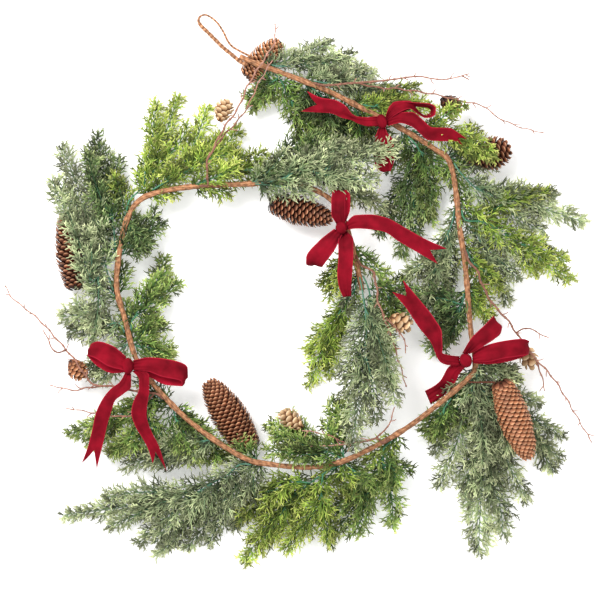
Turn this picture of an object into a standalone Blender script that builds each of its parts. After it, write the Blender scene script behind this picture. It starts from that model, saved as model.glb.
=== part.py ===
"""A decorated foliage garland, laid down in a loose spiral.

One long paper-wrapped wire is the main stem. Cedar sprays, twig picks and cones are wound
onto it at short wraps, four velvet bows are tied round it, and a wire loop at its start
hangs it up. The garland lies on a surface, z = 0, and x and y are its plan.

Routes are given in plan units, u to the right and v down, with heights in millimetres.
plan() turns them into metres by the garland's real width.
"""

import bpy
import bmesh
import numpy as np

# Driving dimensions, in metres
GARLAND_WIDTH = 0.710
STEM_RADIUS = 0.0034
WRAP_RADIUS = 0.0052
WRAP_LENGTH = 0.022
LOOP_RADIUS = 0.0017
TWIG_RADIUS = 0.0016
TWIG_TIP_RADIUS = 0.0008
RIBBON_WIDTH = 0.022
RIBBON_THICKNESS = 0.0009
NOTCH_DEPTH = 0.013
BAND_THICKNESS = 0.0012
KNOT_RADIUS = 0.0058
STALK_WIDTH = 0.0026
STALK_THICKNESS = 0.0018
LEAF_THICKNESS = 0.0008
SEAT = 0.0003
CLEARANCE = 0.0012

# Cones and pods. A form says at which share of the length it is widest, half the length of
# its ellipse, its least radius squared, the lip between two scales, how far a scale leans to
# the tip, how deep the first ring lies and how far the tip is drawn in
CONE_FORM = {
    "belly": 0.36, "half_length": 0.68, "least": 0.06, "lip": 0.80, "push": 0.22,
    "first_depth": 0.55, "tip_draw": 0.10,
}
POD_FORM = {
    "belly": 0.50, "half_length": 0.56, "least": 0.10, "lip": 0.78, "push": 0.15,
    "first_depth": 0.66, "tip_draw": 0.15,
}
SCALE_DRAW = -0.12
RING_DEPTH = 0.66
ROW_OVERLAP = 0.1
TIP_SHARE = 0.12
NECK_END = 0.001
LINE_SPARE = 0.01
CONE_NECK = (0.0014, 0.0014)
CONE_SEAT = 0.00112
POD_NECK = (0.0009, 0.0015)
POD_SEAT = 0.0006

# Bows: the turn round the stem, the knot's shape and how the ribbon gathers to it
TIE_HALF = 0.004
TIE_RING = 0.0055
KNOT_LIFT = 0.0018
KNOT_STOPS = (0.0, 0.25, 0.55, 0.85, 1.0)
KNOT_SHAPE = (0.5, 0.8, 1.0, 0.95, 0.5)
KNOT_SIDES = 6
GATHER_LENGTH = 0.016
GATHER_SHARE = 0.36
LOOP_NEAR = 0.4
LOOP_FAR = 0.85
LAYER_APART = 2.5
LOOP_STOPS = [0.0, 0.13, 0.32, 0.44, 0.5, 0.56, 0.68, 0.87, 1.0]
TAIL_STOPS = [0.0, 0.16, 0.38, 0.66, 1.0]

# How a spray's line is lifted over what lies below it
LIFT_ROUNDS = 4
LIFT_LEAST = 0.00005
LIFT_SLOPE = 0.35
LIFT_RAMP = 0.8
LIFT_START = 0.003

# The plan's own units
PLAN_WIDTH = 592.0
PLAN_MIDDLE = (299.0, 290.0)
UNIT = GARLAND_WIDTH / PLAN_WIDTH
MM = 0.001

STEM_SIDES = 6
STEM_TURN = np.pi / 6
UP = np.array([0.0, 0.0, 1.0])

# The main stem from the hanging loop to its free end: u, v, height
STEM_ROUTE = [
    (240, 57, 42), (256, 64, 44), (270, 69, 45), (289, 76, 44), (327, 91, 42),
    (359, 107, 41), (400, 128, 40), (436, 150, 39), (447, 158, 39), (452, 170, 39),
    (456, 194, 39), (459, 224, 39), (465, 265, 38), (471, 334, 39), (475, 360, 40),
    (474, 371, 40), (466, 380, 40), (432, 409, 39), (400, 432, 38), (359, 454, 38),
    (343, 461, 38), (310, 467, 40), (264, 463, 44), (250, 460, 45), (229, 449, 44),
    (192, 423, 40), (164, 396, 38), (137, 360, 38), (125, 319, 38), (117, 289, 38), (119, 255, 38),
    (127, 220, 39), (137, 203, 40), (150, 195, 41), (190, 187, 42), (251, 184, 43),
    (280, 182, 44), (310, 188, 45), (334, 203, 44), (346, 225, 43), (353, 250, 41),
    (358, 271, 41), (362, 290, 40),
]
# Where sprays are bound on: points on the stem, u and v
WRAPS = [
    (262, 66), (304, 82), (352, 103), (402, 129), (445, 156), (457, 200), (461, 240),
    (467, 283), (474.5, 361), (456, 388), (398, 433), (345, 461), (262, 463), (215, 440),
    (172, 405), (130, 342), (120, 300), (119, 262), (127, 222), (144, 198), (190, 187),
    (251, 184), (351, 246), (357, 268),
]

LOOP_ROUTE = [
    (253.8, 58, 43), (246.8, 55, 43), (239, 51, 43), (232.5, 47, 42), (228, 41.5, 41),
    (223.7, 32.6, 40), (217.6, 23.4, 39), (210.4, 17.2, 38), (204.8, 15, 38), (200.2, 16.8, 38),
    (198.6, 21, 38), (200.8, 25.5, 38), (206.8, 31.5, 39), (215.5, 40.2, 40), (223.2, 47.9, 41),
    (230.8, 54, 41), (236, 58.5, 41), (241.2, 62.5, 41), (247.2, 65.1, 42),
]


def plan(points):
    """Plan points with heights in millimetres, as x, y and z in metres."""
    p = np.array(points, float)
    x = (p[:, 0] - PLAN_MIDDLE[0]) * UNIT
    y = (PLAN_MIDDLE[1] - p[:, 1]) * UNIT
    return np.column_stack([x, y, p[:, 2] * MM])


def distances(line):
    """How far along a line each of its points is."""
    steps = np.linalg.norm(np.diff(line, axis=0), axis=1)
    return np.concatenate([[0.0], np.cumsum(steps)])


def at(line, where):
    """The points of a line at given distances; past its ends it runs on straight."""
    s = distances(line)
    where = np.asarray(where, float)
    inside = np.clip(where, 0.0, s[-1])
    found = np.column_stack([np.interp(inside, s, line[:, k]) for k in range(3)])
    first = (line[1] - line[0]) / np.linalg.norm(line[1] - line[0])
    last = (line[-1] - line[-2]) / np.linalg.norm(line[-1] - line[-2])
    before = np.minimum(where, 0.0)[:, None]
    after = np.maximum(where - s[-1], 0.0)[:, None]
    return found + before * first + after * last


def smooth(points, step=0.002):
    """A Catmull-Rom curve through the points, as a line with a point every step."""
    p = np.asarray(points, float)
    p = np.vstack([2 * p[0] - p[1], p, 2 * p[-1] - p[-2]])
    knots = np.concatenate([[0.0], np.cumsum(np.sqrt(np.linalg.norm(np.diff(p, axis=0), axis=1)))])
    pieces = []
    for k in range(1, len(p) - 2):
        t0, t1, t2, t3 = knots[k - 1:k + 3]
        t = np.linspace(t1, t2, 16, endpoint=False)[:, None]
        a1 = ((t1 - t) * p[k - 1] + (t - t0) * p[k]) / (t1 - t0)
        a2 = ((t2 - t) * p[k] + (t - t1) * p[k + 1]) / (t2 - t1)
        a3 = ((t3 - t) * p[k + 1] + (t - t2) * p[k + 2]) / (t3 - t2)
        b1 = ((t2 - t) * a1 + (t - t0) * a2) / (t2 - t0)
        b2 = ((t3 - t) * a2 + (t - t1) * a3) / (t3 - t1)
        pieces.append(((t2 - t) * b1 + (t - t1) * b2) / (t2 - t1))
    line = np.vstack(pieces + [p[-2:-1]])
    length = distances(line)[-1]
    return at(line, np.linspace(0.0, length, max(3, int(length / step) + 1)))


def frames(line, where):
    """The point, forward, left and up vectors of a line at given distances."""
    where = np.asarray(where, float)
    middle = at(line, where)
    forward = at(line, where + 0.001) - at(line, where - 0.001)
    forward /= np.linalg.norm(forward, axis=1)[:, None]
    left = np.cross(UP, forward)
    left /= np.linalg.norm(left, axis=1)[:, None]
    return middle, forward, left, np.cross(forward, left)


STEM = smooth(plan(STEM_ROUTE))
STEM_LENGTH = distances(STEM)[-1]


def station(u, v):
    """How far along the stem the point nearest to a plan point is."""
    spot = plan([(u, v, 0)])[0]
    gap = np.linalg.norm(STEM[:, :2] - spot[:2], axis=1)
    return distances(STEM)[int(np.argmin(gap))]


def colour(name, rgb, roughness=0.7, metallic=0.0):
    """A plain Principled material."""
    material = bpy.data.materials.new(name)
    material.use_nodes = True
    shader = material.node_tree.nodes["Principled BSDF"]
    shader.inputs["Base Color"].default_value = (*rgb, 1.0)
    shader.inputs["Roughness"].default_value = roughness
    shader.inputs["Metallic"].default_value = metallic
    return material


def mesh_of(vertices, faces):
    """A triangulated mesh with its faces pointing out."""
    mesh = bpy.data.meshes.new("shape")
    mesh.from_pydata([tuple(p) for p in vertices], [], [tuple(f) for f in faces])
    work = bmesh.new()
    work.from_mesh(mesh)
    bmesh.ops.triangulate(work, faces=[f for f in work.faces if len(f.verts) > 3])
    bmesh.ops.recalc_face_normals(work, faces=work.faces)
    work.to_mesh(mesh)
    work.free()
    return mesh


def place(name, mesh, material):
    """A named object for one sub-part."""
    mesh.name = name
    mesh.materials.clear()
    mesh.materials.append(material)
    thing = bpy.data.objects.new(name, mesh)
    bpy.context.scene.collection.objects.link(thing)
    return thing


def keep_largest(work):
    """Drop the slivers that a union can leave beside the body itself."""
    left = set(work.faces)
    bodies = []
    while left:
        body, edge = set(), [left.pop()]
        while edge:
            face = edge.pop()
            body.add(face)
            near = {f for e in face.edges for f in e.link_faces} & left
            left -= near
            edge += near
        bodies.append(body)
    bodies.sort(key=len)
    slivers = [face for body in bodies[:-1] for face in body]
    bmesh.ops.delete(work, geom=slivers, context="FACES")


def fused(meshes):
    """One closed mesh from several that run into each other."""
    if len(meshes) == 1:
        return meshes[0]
    scene = bpy.context.scene
    base = bpy.data.objects.new("base", meshes[0])
    scene.collection.objects.link(base)
    group = bpy.data.collections.new("repeats")
    scene.collection.children.link(group)
    for mesh in meshes[1:]:
        group.objects.link(bpy.data.objects.new("repeat", mesh))
    union = base.modifiers.new("union", "BOOLEAN")
    union.operation = "UNION"
    union.operand_type = "COLLECTION"
    union.collection = group
    union.solver = "EXACT"
    shown = base.evaluated_get(bpy.context.evaluated_depsgraph_get())
    joined = bpy.data.meshes.new_from_object(shown)
    for thing in [base, *group.objects]:
        bpy.data.objects.remove(thing)
    bpy.data.collections.remove(group)
    work = bmesh.new()
    work.from_mesh(joined)
    bmesh.ops.remove_doubles(work, verts=work.verts, dist=0.00002)
    bmesh.ops.dissolve_degenerate(work, edges=work.edges, dist=0.00002)
    keep_largest(work)
    bmesh.ops.triangulate(work, faces=work.faces)
    work.to_mesh(joined)
    work.free()
    return joined


def ringed(line, where, radii, shifts=None, turn=0.0):
    """A closed solid of rings along a line; radii and shifts have one row a ring."""
    radii = np.asarray(radii, float)
    count, sides = radii.shape
    shifts = np.zeros_like(radii) if shifts is None else shifts
    angle = np.arange(sides) * 2 * np.pi / sides + turn
    middle, forward, left, up = frames(line, where)
    out = np.cos(angle)[None, :, None] * left[:, None] + np.sin(angle)[None, :, None] * up[:, None]
    rings = middle[:, None] + radii[..., None] * out + shifts[..., None] * forward[:, None]
    vertices = rings.reshape(-1, 3)
    faces = []
    for k in range(count - 1):
        for j in range(sides):
            n = (j + 1) % sides
            faces.append((k * sides + j, (k + 1) * sides + j, (k + 1) * sides + n, k * sides + n))
    faces.append(tuple(range(sides)))
    faces.append(tuple((count - 1) * sides + j for j in reversed(range(sides))))
    return mesh_of(vertices, faces)


def tube(line, stations, radius_start, radius_end, sides, turn=0.0):
    """A round wire or twig that thins evenly."""
    where = np.linspace(0.0, distances(line)[-1], stations)
    radii = np.linspace(radius_start, radius_end, stations)
    return ringed(line, where, np.repeat(radii[:, None], sides, axis=1), turn=turn)


class Heap:
    """The highest point of everything laid down so far, on a fine grid over the plan."""

    cell = 0.0025

    def __init__(self):
        self.height = {}

    def add(self, spots):
        """Take in the points of a piece, each spread over the cells round it."""
        for i, j, z in zip(*np.floor(spots[:, :2] / self.cell).astype(int).T, spots[:, 2]):
            for spot in [(i + di, j + dj) for di in (-1, 0, 1) for dj in (-1, 0, 1)]:
                if z > self.height.get(spot, -1.0):
                    self.height[spot] = z

    def under(self, spots):
        """The height of the heap at each point, or -1 where nothing lies."""
        cells = np.floor(spots[:, :2] / self.cell).astype(int)
        return np.array([self.height.get((i, j), -1.0) for i, j in cells])


HEAP = Heap()


def spread(rows, triangles, gap=0.0025):
    """Rows of numbers evenly all over a set of triangles; the last three are x, y and z."""
    found = []
    for triangle in triangles:
        p = rows[list(triangle)]
        longest = max(np.linalg.norm(p[k, -3:] - p[k - 1, -3:]) for k in range(3))
        n = max(1, int(np.ceil(longest / gap)))
        i, j = np.meshgrid(np.arange(n + 1), np.arange(n + 1))
        i, j = (i[i + j <= n] / n)[:, None], (j[i + j <= n] / n)[:, None]
        found.append((1 - i - j) * p[0] + i * p[1] + j * p[2])
    return np.vstack(found)


def heap_up(mesh):
    """Lay a finished mesh on the heap."""
    vertices = np.array([tuple(v.co) for v in mesh.vertices])
    HEAP.add(spread(vertices, [tuple(f.vertices) for f in mesh.polygons if f.normal.z > 0.02]))


# A spray's plain stalk: its share of the length, a fork's too, and where its joints are on it
STALK_SHARE = 0.26
FORK_STALK_SHARE = 0.22
STALK_JOINTS = (0.0, 0.4, 0.85)

# The four free points of a side branch: along its length and across, in gaps between branches
BRANCH_POINTS = [(0.58, -0.50), (0.60, -0.10), (1.04, 0.02), (0.66, 0.45)]
BRANCH_THICKNESS = [LEAF_THICKNESS, 0.0011, LEAF_THICKNESS, LEAF_THICKNESS]
# A branch is no wider than this share of its length, and the end branch has its own share
BRANCH_WIDTH_LIMIT = 0.7
END_BRANCH_WIDTH = 0.40


class Plane:
    """The flat pattern of one blade: points along and across, thickness and triangles."""

    def __init__(self):
        self.points, self.thick, self.faces = [], [], []

    def add(self, spot, thickness):
        self.points.append(np.array(spot, float))
        self.thick.append(thickness)
        return len(self.points) - 1

    def branch(self, back, front, side, length, gap, angle):
        """A side branch with a tooth, a tip and a shoulder, on the edge from back to front."""
        along = np.array([np.cos(angle), side * np.sin(angle)])
        across = np.array([np.sin(angle), -side * np.cos(angle)])
        base = (self.points[back] + self.points[front]) / 2
        tooth, notch, tip, shoulder = [
            self.add(base + a * length * along + b * gap * across, thickness)
            for (a, b), thickness in zip(BRANCH_POINTS, BRANCH_THICKNESS)
        ]
        self.faces += [(back, tooth, notch), (notch, tip, shoulder)]
        self.faces += [(back, notch, front), (notch, shoulder, front)]

    def zip_up(self, left, right):
        """Triangles between two chains of points that both run forwards."""
        i = j = 0
        while i < len(left) - 1 or j < len(right) - 1:
            if j == len(right) - 1:
                step_left = True
            elif i == len(left) - 1:
                step_left = False
            else:
                step_left = self.points[left[i + 1]][0] <= self.points[right[j + 1]][0]
            self.faces.append((left[i], right[j], left[i + 1] if step_left else right[j + 1]))
            i, j = (i + 1, j) if step_left else (i, j + 1)

    def finished(self):
        """The pattern as arrays, with every triangle turned the same way."""
        p = np.array(self.points)
        faces = []
        for a, b, c in self.faces:
            (ux, uy), (vx, vy) = p[b] - p[a], p[c] - p[a]
            faces.append((a, b, c) if ux * vy > uy * vx else (a, c, b))
        return p, np.array(self.thick), faces


def cedar_pattern(length, bare, half_width, pairs, fan=0.80):
    """A cedar spray laid flat: a plain stalk, then side branches by turns, and an end branch.

    bare is the share of the length that is a plain stalk. The reach of the side branches
    narrows from half_width to the tip. fan is their angle to the stalk in radians.
    """
    flat = Plane()
    leafy = length * (1 - bare)
    step = leafy / (pairs + 0.55)
    chains = {}
    for side in (1, -1):
        chain = [flat.add((length * bare * share, side * STALK_WIDTH / 2), STALK_THICKNESS)
                 for share in STALK_JOINTS]
        for k in range(pairs):
            along = (k + (0.0 if side > 0 else 0.45)) * step
            share = along / leafy
            slim = 1 - 0.45 * share
            edge = side * STALK_WIDTH / 2 * slim
            back = flat.add((length * bare + along, edge), STALK_THICKNESS * slim)
            front = flat.add((length * bare + along + 0.17 * step, edge), STALK_THICKNESS * slim)
            chain += [back, front]
            reach = half_width * (1 - share) ** 0.6 * min(1.0, 0.75 + share * 1.5)
            branch = reach / np.sin(fan)
            wide = min(step * np.sin(fan), BRANCH_WIDTH_LIMIT * branch)
            flat.branch(back, front, side, branch, wide, fan)
        chains[side] = chain
    flat.zip_up(chains[1], chains[-1])
    last_left, last_right = chains[1][-1], chains[-1][-1]
    left_over = length - flat.points[last_right][0]
    flat.branch(last_left, last_right, 1, left_over, left_over * END_BRANCH_WIDTH, 0.0)
    return flat.finished()


def bend(line, pattern):
    """The upper and lower points of a blade that follows a line."""
    points, thick, _ = pattern
    middle, _, left, up = frames(line, points[:, 0])
    middle = middle + points[:, 1:2] * left
    half = up * thick[:, None] / 2
    return middle + half, middle - half


def laid(line, pattern):
    """The line lifted so that its blade clears the heap and the surface, gently all along."""
    points, _, faces = pattern
    for _ in range(LIFT_ROUNDS):
        lower = bend(line, pattern)[1]
        spots = spread(np.column_stack([points[:, 0], lower]), faces)
        need = np.maximum(HEAP.under(spots[:, 1:]) + CLEARANCE, 0.0) - spots[:, 3]
        wanted = need > LIFT_LEAST
        if not wanted.any():
            break
        s = distances(line)
        lift = need[None, wanted] - LIFT_SLOPE * np.abs(s[:, None] - spots[None, wanted, 0])
        lift = np.clip(lift.max(axis=1), 0.0, LIFT_RAMP * np.maximum(s - LIFT_START, 0.0))
        line = line + lift[:, None] * UP
    return line


def thickened(pattern, upper, lower):
    """The closed mesh of a blade, triangulated alike on both faces."""
    faces = pattern[2]
    count = len(upper)
    edges = {(a, b) for f in faces for a, b in ((f[0], f[1]), (f[1], f[2]), (f[2], f[0]))}
    rim = [(a, b) for a, b in edges if (b, a) not in edges]
    solid = list(faces) + [(c + count, b + count, a + count) for a, b, c in faces]
    for a, b in sorted(rim):
        solid += [(a, a + count, b + count), (a, b + count, b)]
    return mesh_of(np.vstack([upper, lower]), solid)


def seat(root, side, reach, half):
    """A point beside the stem, the stem's direction there and the way out from it.

    side is the angle round the stem: 0 left of its run, 90 on top, 180 right, 270 below.
    reach is how far past the nearest point to root it lies; half is the half thickness of
    what is seated. The stem's section is a polygon with a corner on top.
    """
    middle, forward, left, up = frames(STEM, [station(*root) + reach])
    turn = np.radians(side)
    out = np.cos(turn) * left[0] + np.sin(turn) * up[0]
    sector = 2 * np.pi / STEM_SIDES
    off_flat = (turn - STEM_TURN) % sector - sector / 2
    surface = STEM_RADIUS * np.cos(sector / 2) / np.cos(off_flat)
    return middle[0] + out * (surface + SEAT + half), forward[0], out


def spray(name, material, fronds):
    """One cedar spray: the first frond grows from the stem, the others fork from its stalk.

    A frond is (root, side, route, half width in millimetres, pairs of side branches). The
    root is a wrap on the stem, or for a fork the number of the joint on the first stalk.
    """
    meshes = []
    first = None
    for root, side, route, half_width, pairs in fronds:
        if first is None:
            half = STALK_WIDTH / 2 * abs(np.cos(np.radians(side))) \
                + STALK_THICKNESS / 2 * abs(np.sin(np.radians(side)))
            start, forward, out = seat(root, side, WRAP_LENGTH / 2 + 0.001, half)
            line = smooth(np.vstack([start, start + forward * 0.012 + out * 0.003, plan(route)]))
            bare = STALK_SHARE
        else:
            joint = STALK_SHARE * STALK_JOINTS[root] * distances(first)[-1]
            line = smooth(np.vstack([at(first, [joint])[0], plan(route)]))
            bare = FORK_STALK_SHARE
        pattern = cedar_pattern(distances(line)[-1], bare, half_width * MM, pairs)
        line = laid(line, pattern)
        upper, lower = bend(line, pattern)
        resting = lower[:, 2] < LEAF_THICKNESS
        upper[resting, 2] -= lower[resting, 2]
        lower[resting, 2] = 0.0
        mesh = thickened(pattern, upper, lower)
        HEAP.add(spread(upper, pattern[2]))
        meshes.append(mesh)
        first = line if first is None else first
    return place(name, fused(meshes), material)


def main_stem(material):
    """The paper-wrapped wire, with a bulge at each wrap."""
    stops = {0.0: STEM_RADIUS * 0.8, STEM_LENGTH: STEM_RADIUS * 0.8}
    for u, v in WRAPS:
        s = station(u, v)
        stops[s] = WRAP_RADIUS
        stops[s - WRAP_LENGTH / 2] = STEM_RADIUS
        stops[s + WRAP_LENGTH / 2] = STEM_RADIUS
    for _, root, *_ in BOWS:
        for side in (-TIE_RING, TIE_RING):
            stops[station(*root) + side] = STEM_RADIUS
    for _, _, root, *_ in CONES:
        stops[station(*root)] = STEM_RADIUS
    for u, v, _ in STEM_ROUTE[1:-1]:
        s = station(u, v)
        if min(abs(s - t) for t in stops) > 0.009:
            stops[s] = STEM_RADIUS
    where = sorted(stops)
    radii = np.array([stops[s] for s in where])
    mesh = ringed(STEM, where, np.repeat(radii[:, None], STEM_SIDES, axis=1), turn=STEM_TURN)
    return place("main_stem", mesh, material)


def hanging_loop(material):
    """The bare wire bent into a loop, its two ends laid along the stem's start."""
    line = smooth(plan(LOOP_ROUTE))
    mesh = tube(line, 20, LOOP_RADIUS, LOOP_RADIUS, 5)
    return place("hanging_loop", mesh, material)


def scaly(line, start, body, radius, rows, scales, form, neck):
    """A closed mesh of a neck and rows of overlapping scales along a line.

    The body starts at a distance along the line. Each row is a ring of lips over a deeper
    ring, every other row is turned by half a scale, and the radius follows an ellipse.
    """
    sides = 2 * scales
    row = body / rows
    even = np.arange(sides) % 2 == 0
    lip = np.where(even, 1.0, form["lip"])
    push = np.where(even, form["push"], SCALE_DRAW)
    where = [0.0, start - NECK_END]
    radii = [np.full(sides, neck[0]), np.full(sides, neck[1])]
    shifts = [np.zeros(sides), np.zeros(sides)]
    for k in range(rows):
        for deep, along in ((True, k * row), (False, (k + 1) * row)):
            share = min(1.0, along / body)
            off = (share - form["belly"]) / form["half_length"]
            wide = radius * np.sqrt(max(form["least"], 1 - off ** 2))
            where.append(start + along - (ROW_OVERLAP * row if deep and k else 0.0))
            depth = RING_DEPTH if k else form["first_depth"]
            radii.append(np.full(sides, wide * depth) if deep else wide * np.roll(lip, k % 2))
            shifts.append(np.zeros(sides) if deep else row * np.roll(push, k % 2))
    where.append(start + body)
    radii.append(np.full(sides, radius * TIP_SHARE))
    shifts.append(np.full(sides, -form["tip_draw"] * row))
    return ringed(line, where, np.array(radii), np.array(shifts))


def cone(name, material, root, side, base, apex, radius, rows, scales):
    """A cone of overlapping scales on a bare wire neck that is seated by the stem."""
    start, _, _ = seat(root, side, 0.0, CONE_SEAT)
    ends = plan([base, apex])
    body = np.linalg.norm(ends[1] - ends[0])
    axis = (ends[1] - ends[0]) / body
    line = np.vstack([start, ends[0], ends[1] + axis * LINE_SPARE])
    reach = distances(line)[1]
    mesh = scaly(line, reach, body, radius, rows, scales, CONE_FORM, CONE_NECK)
    return place(name, mesh, material)


def small_cone(name, material, carrier, base, apex, radius, rows, scales):
    """A small open cone or pod, on a short neck that is seated by its twig."""
    ends = plan([base, apex])
    _, spot, normal, _ = bpy.data.objects[carrier].closest_point_on_mesh(tuple(ends[0]))
    start = np.array(spot) + np.array(normal) * POD_SEAT
    body = np.linalg.norm(ends[1] - ends[0])
    line = np.vstack([start, ends])
    reach = distances(line)[1] + NECK_END
    mesh = scaly(line, reach, body, radius, rows, scales, POD_FORM, POD_NECK)
    return place(name, mesh, material)


def twig(name, material, root, side, strands):
    """A branched twig: the first strand is seated by the stem, the others fork from it.

    A strand is (fork share, route); the first one's share isn't used.
    """
    meshes = []
    first = None
    for share, route in strands:
        if first is None:
            start, forward, out = seat(root, side, WRAP_LENGTH / 2 + 0.001, TWIG_RADIUS)
            line = smooth(np.vstack([start, start + forward * 0.010 + out * 0.002, plan(route)]))
            thick = TWIG_RADIUS
        else:
            fork = at(first, [share * distances(first)[-1]])[0]
            line = smooth(np.vstack([fork, plan(route)]))
            thick = TWIG_RADIUS * 0.72
        stations = max(3, int(distances(line)[-1] / 0.021) + 1)
        meshes.append(tube(line, stations, thick, TWIG_TIP_RADIUS, 4, turn=0.4))
        first = line if first is None else first
    return place(name, fused(meshes), material)


def strip_faces(count):
    """The faces of a strip of four-cornered rings, both broad sides cut along one diagonal."""
    faces = []
    for a in range(0, 4 * (count - 1), 4):
        b = a + 4
        faces += [(a, a + 1, b + 1), (a, b + 1, b), (a + 2, a + 3, b + 2), (a + 3, b + 3, b + 2)]
        faces += [(a + 1, a + 2, b + 2, b + 1), (a + 3, a, b, b + 3)]
    return faces


def tail_of(line, tilts):
    """A bow's tail: a strip gathered at the knot, with a swallowtail cut in its free end.

    tilts turns it round its own run, 0 flat and 90 on edge.
    """
    length = distances(line)[-1]
    where = np.array(TAIL_STOPS) * (length - NOTCH_DEPTH)
    middle, forward, left, up = frames(line, where)
    turn = np.radians(np.interp(where / length, np.linspace(0, 1, len(tilts)), tilts))[:, None]
    across = left * np.cos(turn) + up * np.sin(turn)
    normal = up * np.cos(turn) - left * np.sin(turn)
    gather = np.clip(where / GATHER_LENGTH, 0, 1)
    half = RIBBON_WIDTH / 2 * (GATHER_SHARE + (1 - GATHER_SHARE) * gather)[:, None]
    thick = normal * RIBBON_THICKNESS / 2
    rings = [middle + across * half + thick, middle - across * half + thick,
             middle - across * half - thick, middle + across * half - thick]
    vertices = np.stack(rings, axis=1).reshape(-1, 3)
    faces = strip_faces(len(where)) + [(3, 2, 1, 0)]
    last = 4 * (len(where) - 1)
    tips = vertices[last:last + 4] + forward[-1] * NOTCH_DEPTH
    extra = np.vstack([tips, middle[-1] + thick[-1], middle[-1] - thick[-1]])
    a, b, c, d = last, last + 1, last + 2, last + 3
    e, f, g, h, m, n = range(last + 4, last + 10)
    faces += [(a, m, e), (b, f, m), (a, b, m), (d, h, n), (c, n, g), (c, d, n)]
    faces += [(a, e, h, d), (b, c, g, f), (e, m, n, h), (m, f, g, n)]
    return mesh_of(np.vstack([vertices, extra]), faces)


def tie(root):
    """The turn of ribbon round the stem, as a short band."""
    where = station(*root)
    middle, _, left, up = frames(STEM, [where - TIE_HALF, where + TIE_HALF])
    angle = np.arange(STEM_SIDES) * 2 * np.pi / STEM_SIDES + STEM_TURN
    out = np.cos(angle)[None, :, None] * left[:, None] + np.sin(angle)[None, :, None] * up[:, None]
    inner = middle[:, None] + out * (STEM_RADIUS + SEAT)
    outer = middle[:, None] + out * (STEM_RADIUS + SEAT + BAND_THICKNESS)
    vertices = np.vstack([inner[0], inner[1], outer[1], outer[0]])
    faces = []
    for k in range(4):
        for j in range(STEM_SIDES):
            n = (j + 1) % STEM_SIDES
            a, b = k * STEM_SIDES, (k + 1) % 4 * STEM_SIDES
            faces.append((a + j, a + n, b + n, b + j))
    return mesh_of(vertices, faces)


def bow(name, material, root, knot_end, loops, tails):
    """A tied bow: a turn round the stem, the knot, two loops and two tails in one ribbon.

    The knot runs from the top of the turn to its far end. A loop is (far end, height of its
    lower and upper layer, sideways shift of the lower layer). A tail is a route with the
    ribbon's tilt at each point.
    """
    top, _, _ = seat(root, 90, 0.0, BAND_THICKNESS + KNOT_LIFT)
    end = plan([knot_end])[0]
    run = np.vstack([top, (top + end) / 2, end])
    radii = np.array(KNOT_SHAPE) * KNOT_RADIUS
    rings = np.repeat(radii[:, None], KNOT_SIDES, axis=1)
    where = np.array(KNOT_STOPS) * distances(run)[-1]
    meshes = [ringed(run, where, rings), tie(root)]
    knot_u = run[1, 0] / UNIT + PLAN_MIDDLE[0]
    knot_v = PLAN_MIDDLE[1] - run[1, 1] / UNIT
    knot_z = run[1, 2] / MM
    for (far_u, far_v), low, high, (skew_u, skew_v) in loops:
        du, dv = far_u - knot_u, far_v - knot_v
        route = [
            (knot_u, knot_v, knot_z - LAYER_APART),
            (knot_u + LOOP_NEAR * du + skew_u, knot_v + LOOP_NEAR * dv + skew_v, low + 1),
            (knot_u + LOOP_FAR * du + skew_u, knot_v + LOOP_FAR * dv + skew_v, low),
            (far_u + skew_u / 2, far_v + skew_v / 2, (low + high) / 2),
            (knot_u + LOOP_FAR * du, knot_v + LOOP_FAR * dv, high),
            (knot_u + LOOP_NEAR * du, knot_v + LOOP_NEAR * dv, high - 1),
            (knot_u, knot_v, knot_z + LAYER_APART),
        ]
        meshes.append(loop_of(plan(route)))
    for route in tails:
        line = smooth(plan([p[:3] for p in route]))
        meshes.append(tail_of(line, [p[3] for p in route]))
    return place(name, fused(meshes), material)


def loop_of(points):
    """A bow's loop: out along its lower layer and back along the upper one, width level."""
    line = smooth(points)
    length = distances(line)[-1]
    where = np.array(LOOP_STOPS) * length
    middle = at(line, where)
    forward = at(line, where + 0.001) - at(line, where - 0.001)
    forward /= np.linalg.norm(forward, axis=1)[:, None]
    run = points[3] - points[0]
    across = np.cross(UP, run)
    across /= np.linalg.norm(across)
    normal = np.cross(forward, across)
    normal *= RIBBON_THICKNESS / 2 / np.linalg.norm(normal, axis=1)[:, None]
    gather = np.clip(np.minimum(where, length - where) / GATHER_LENGTH, 0, 1)
    across = across * (RIBBON_WIDTH / 2 * (GATHER_SHARE + (1 - GATHER_SHARE) * gather))[:, None]
    corners = [middle + across + normal, middle - across + normal,
               middle - across - normal, middle + across - normal]
    vertices = np.stack(corners, axis=1).reshape(-1, 3)
    last = len(vertices) - 4
    ends = [(3, 2, 1, 0), (last, last + 1, last + 2, last + 3)]
    return mesh_of(vertices, strip_faces(len(where)) + ends)


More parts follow.
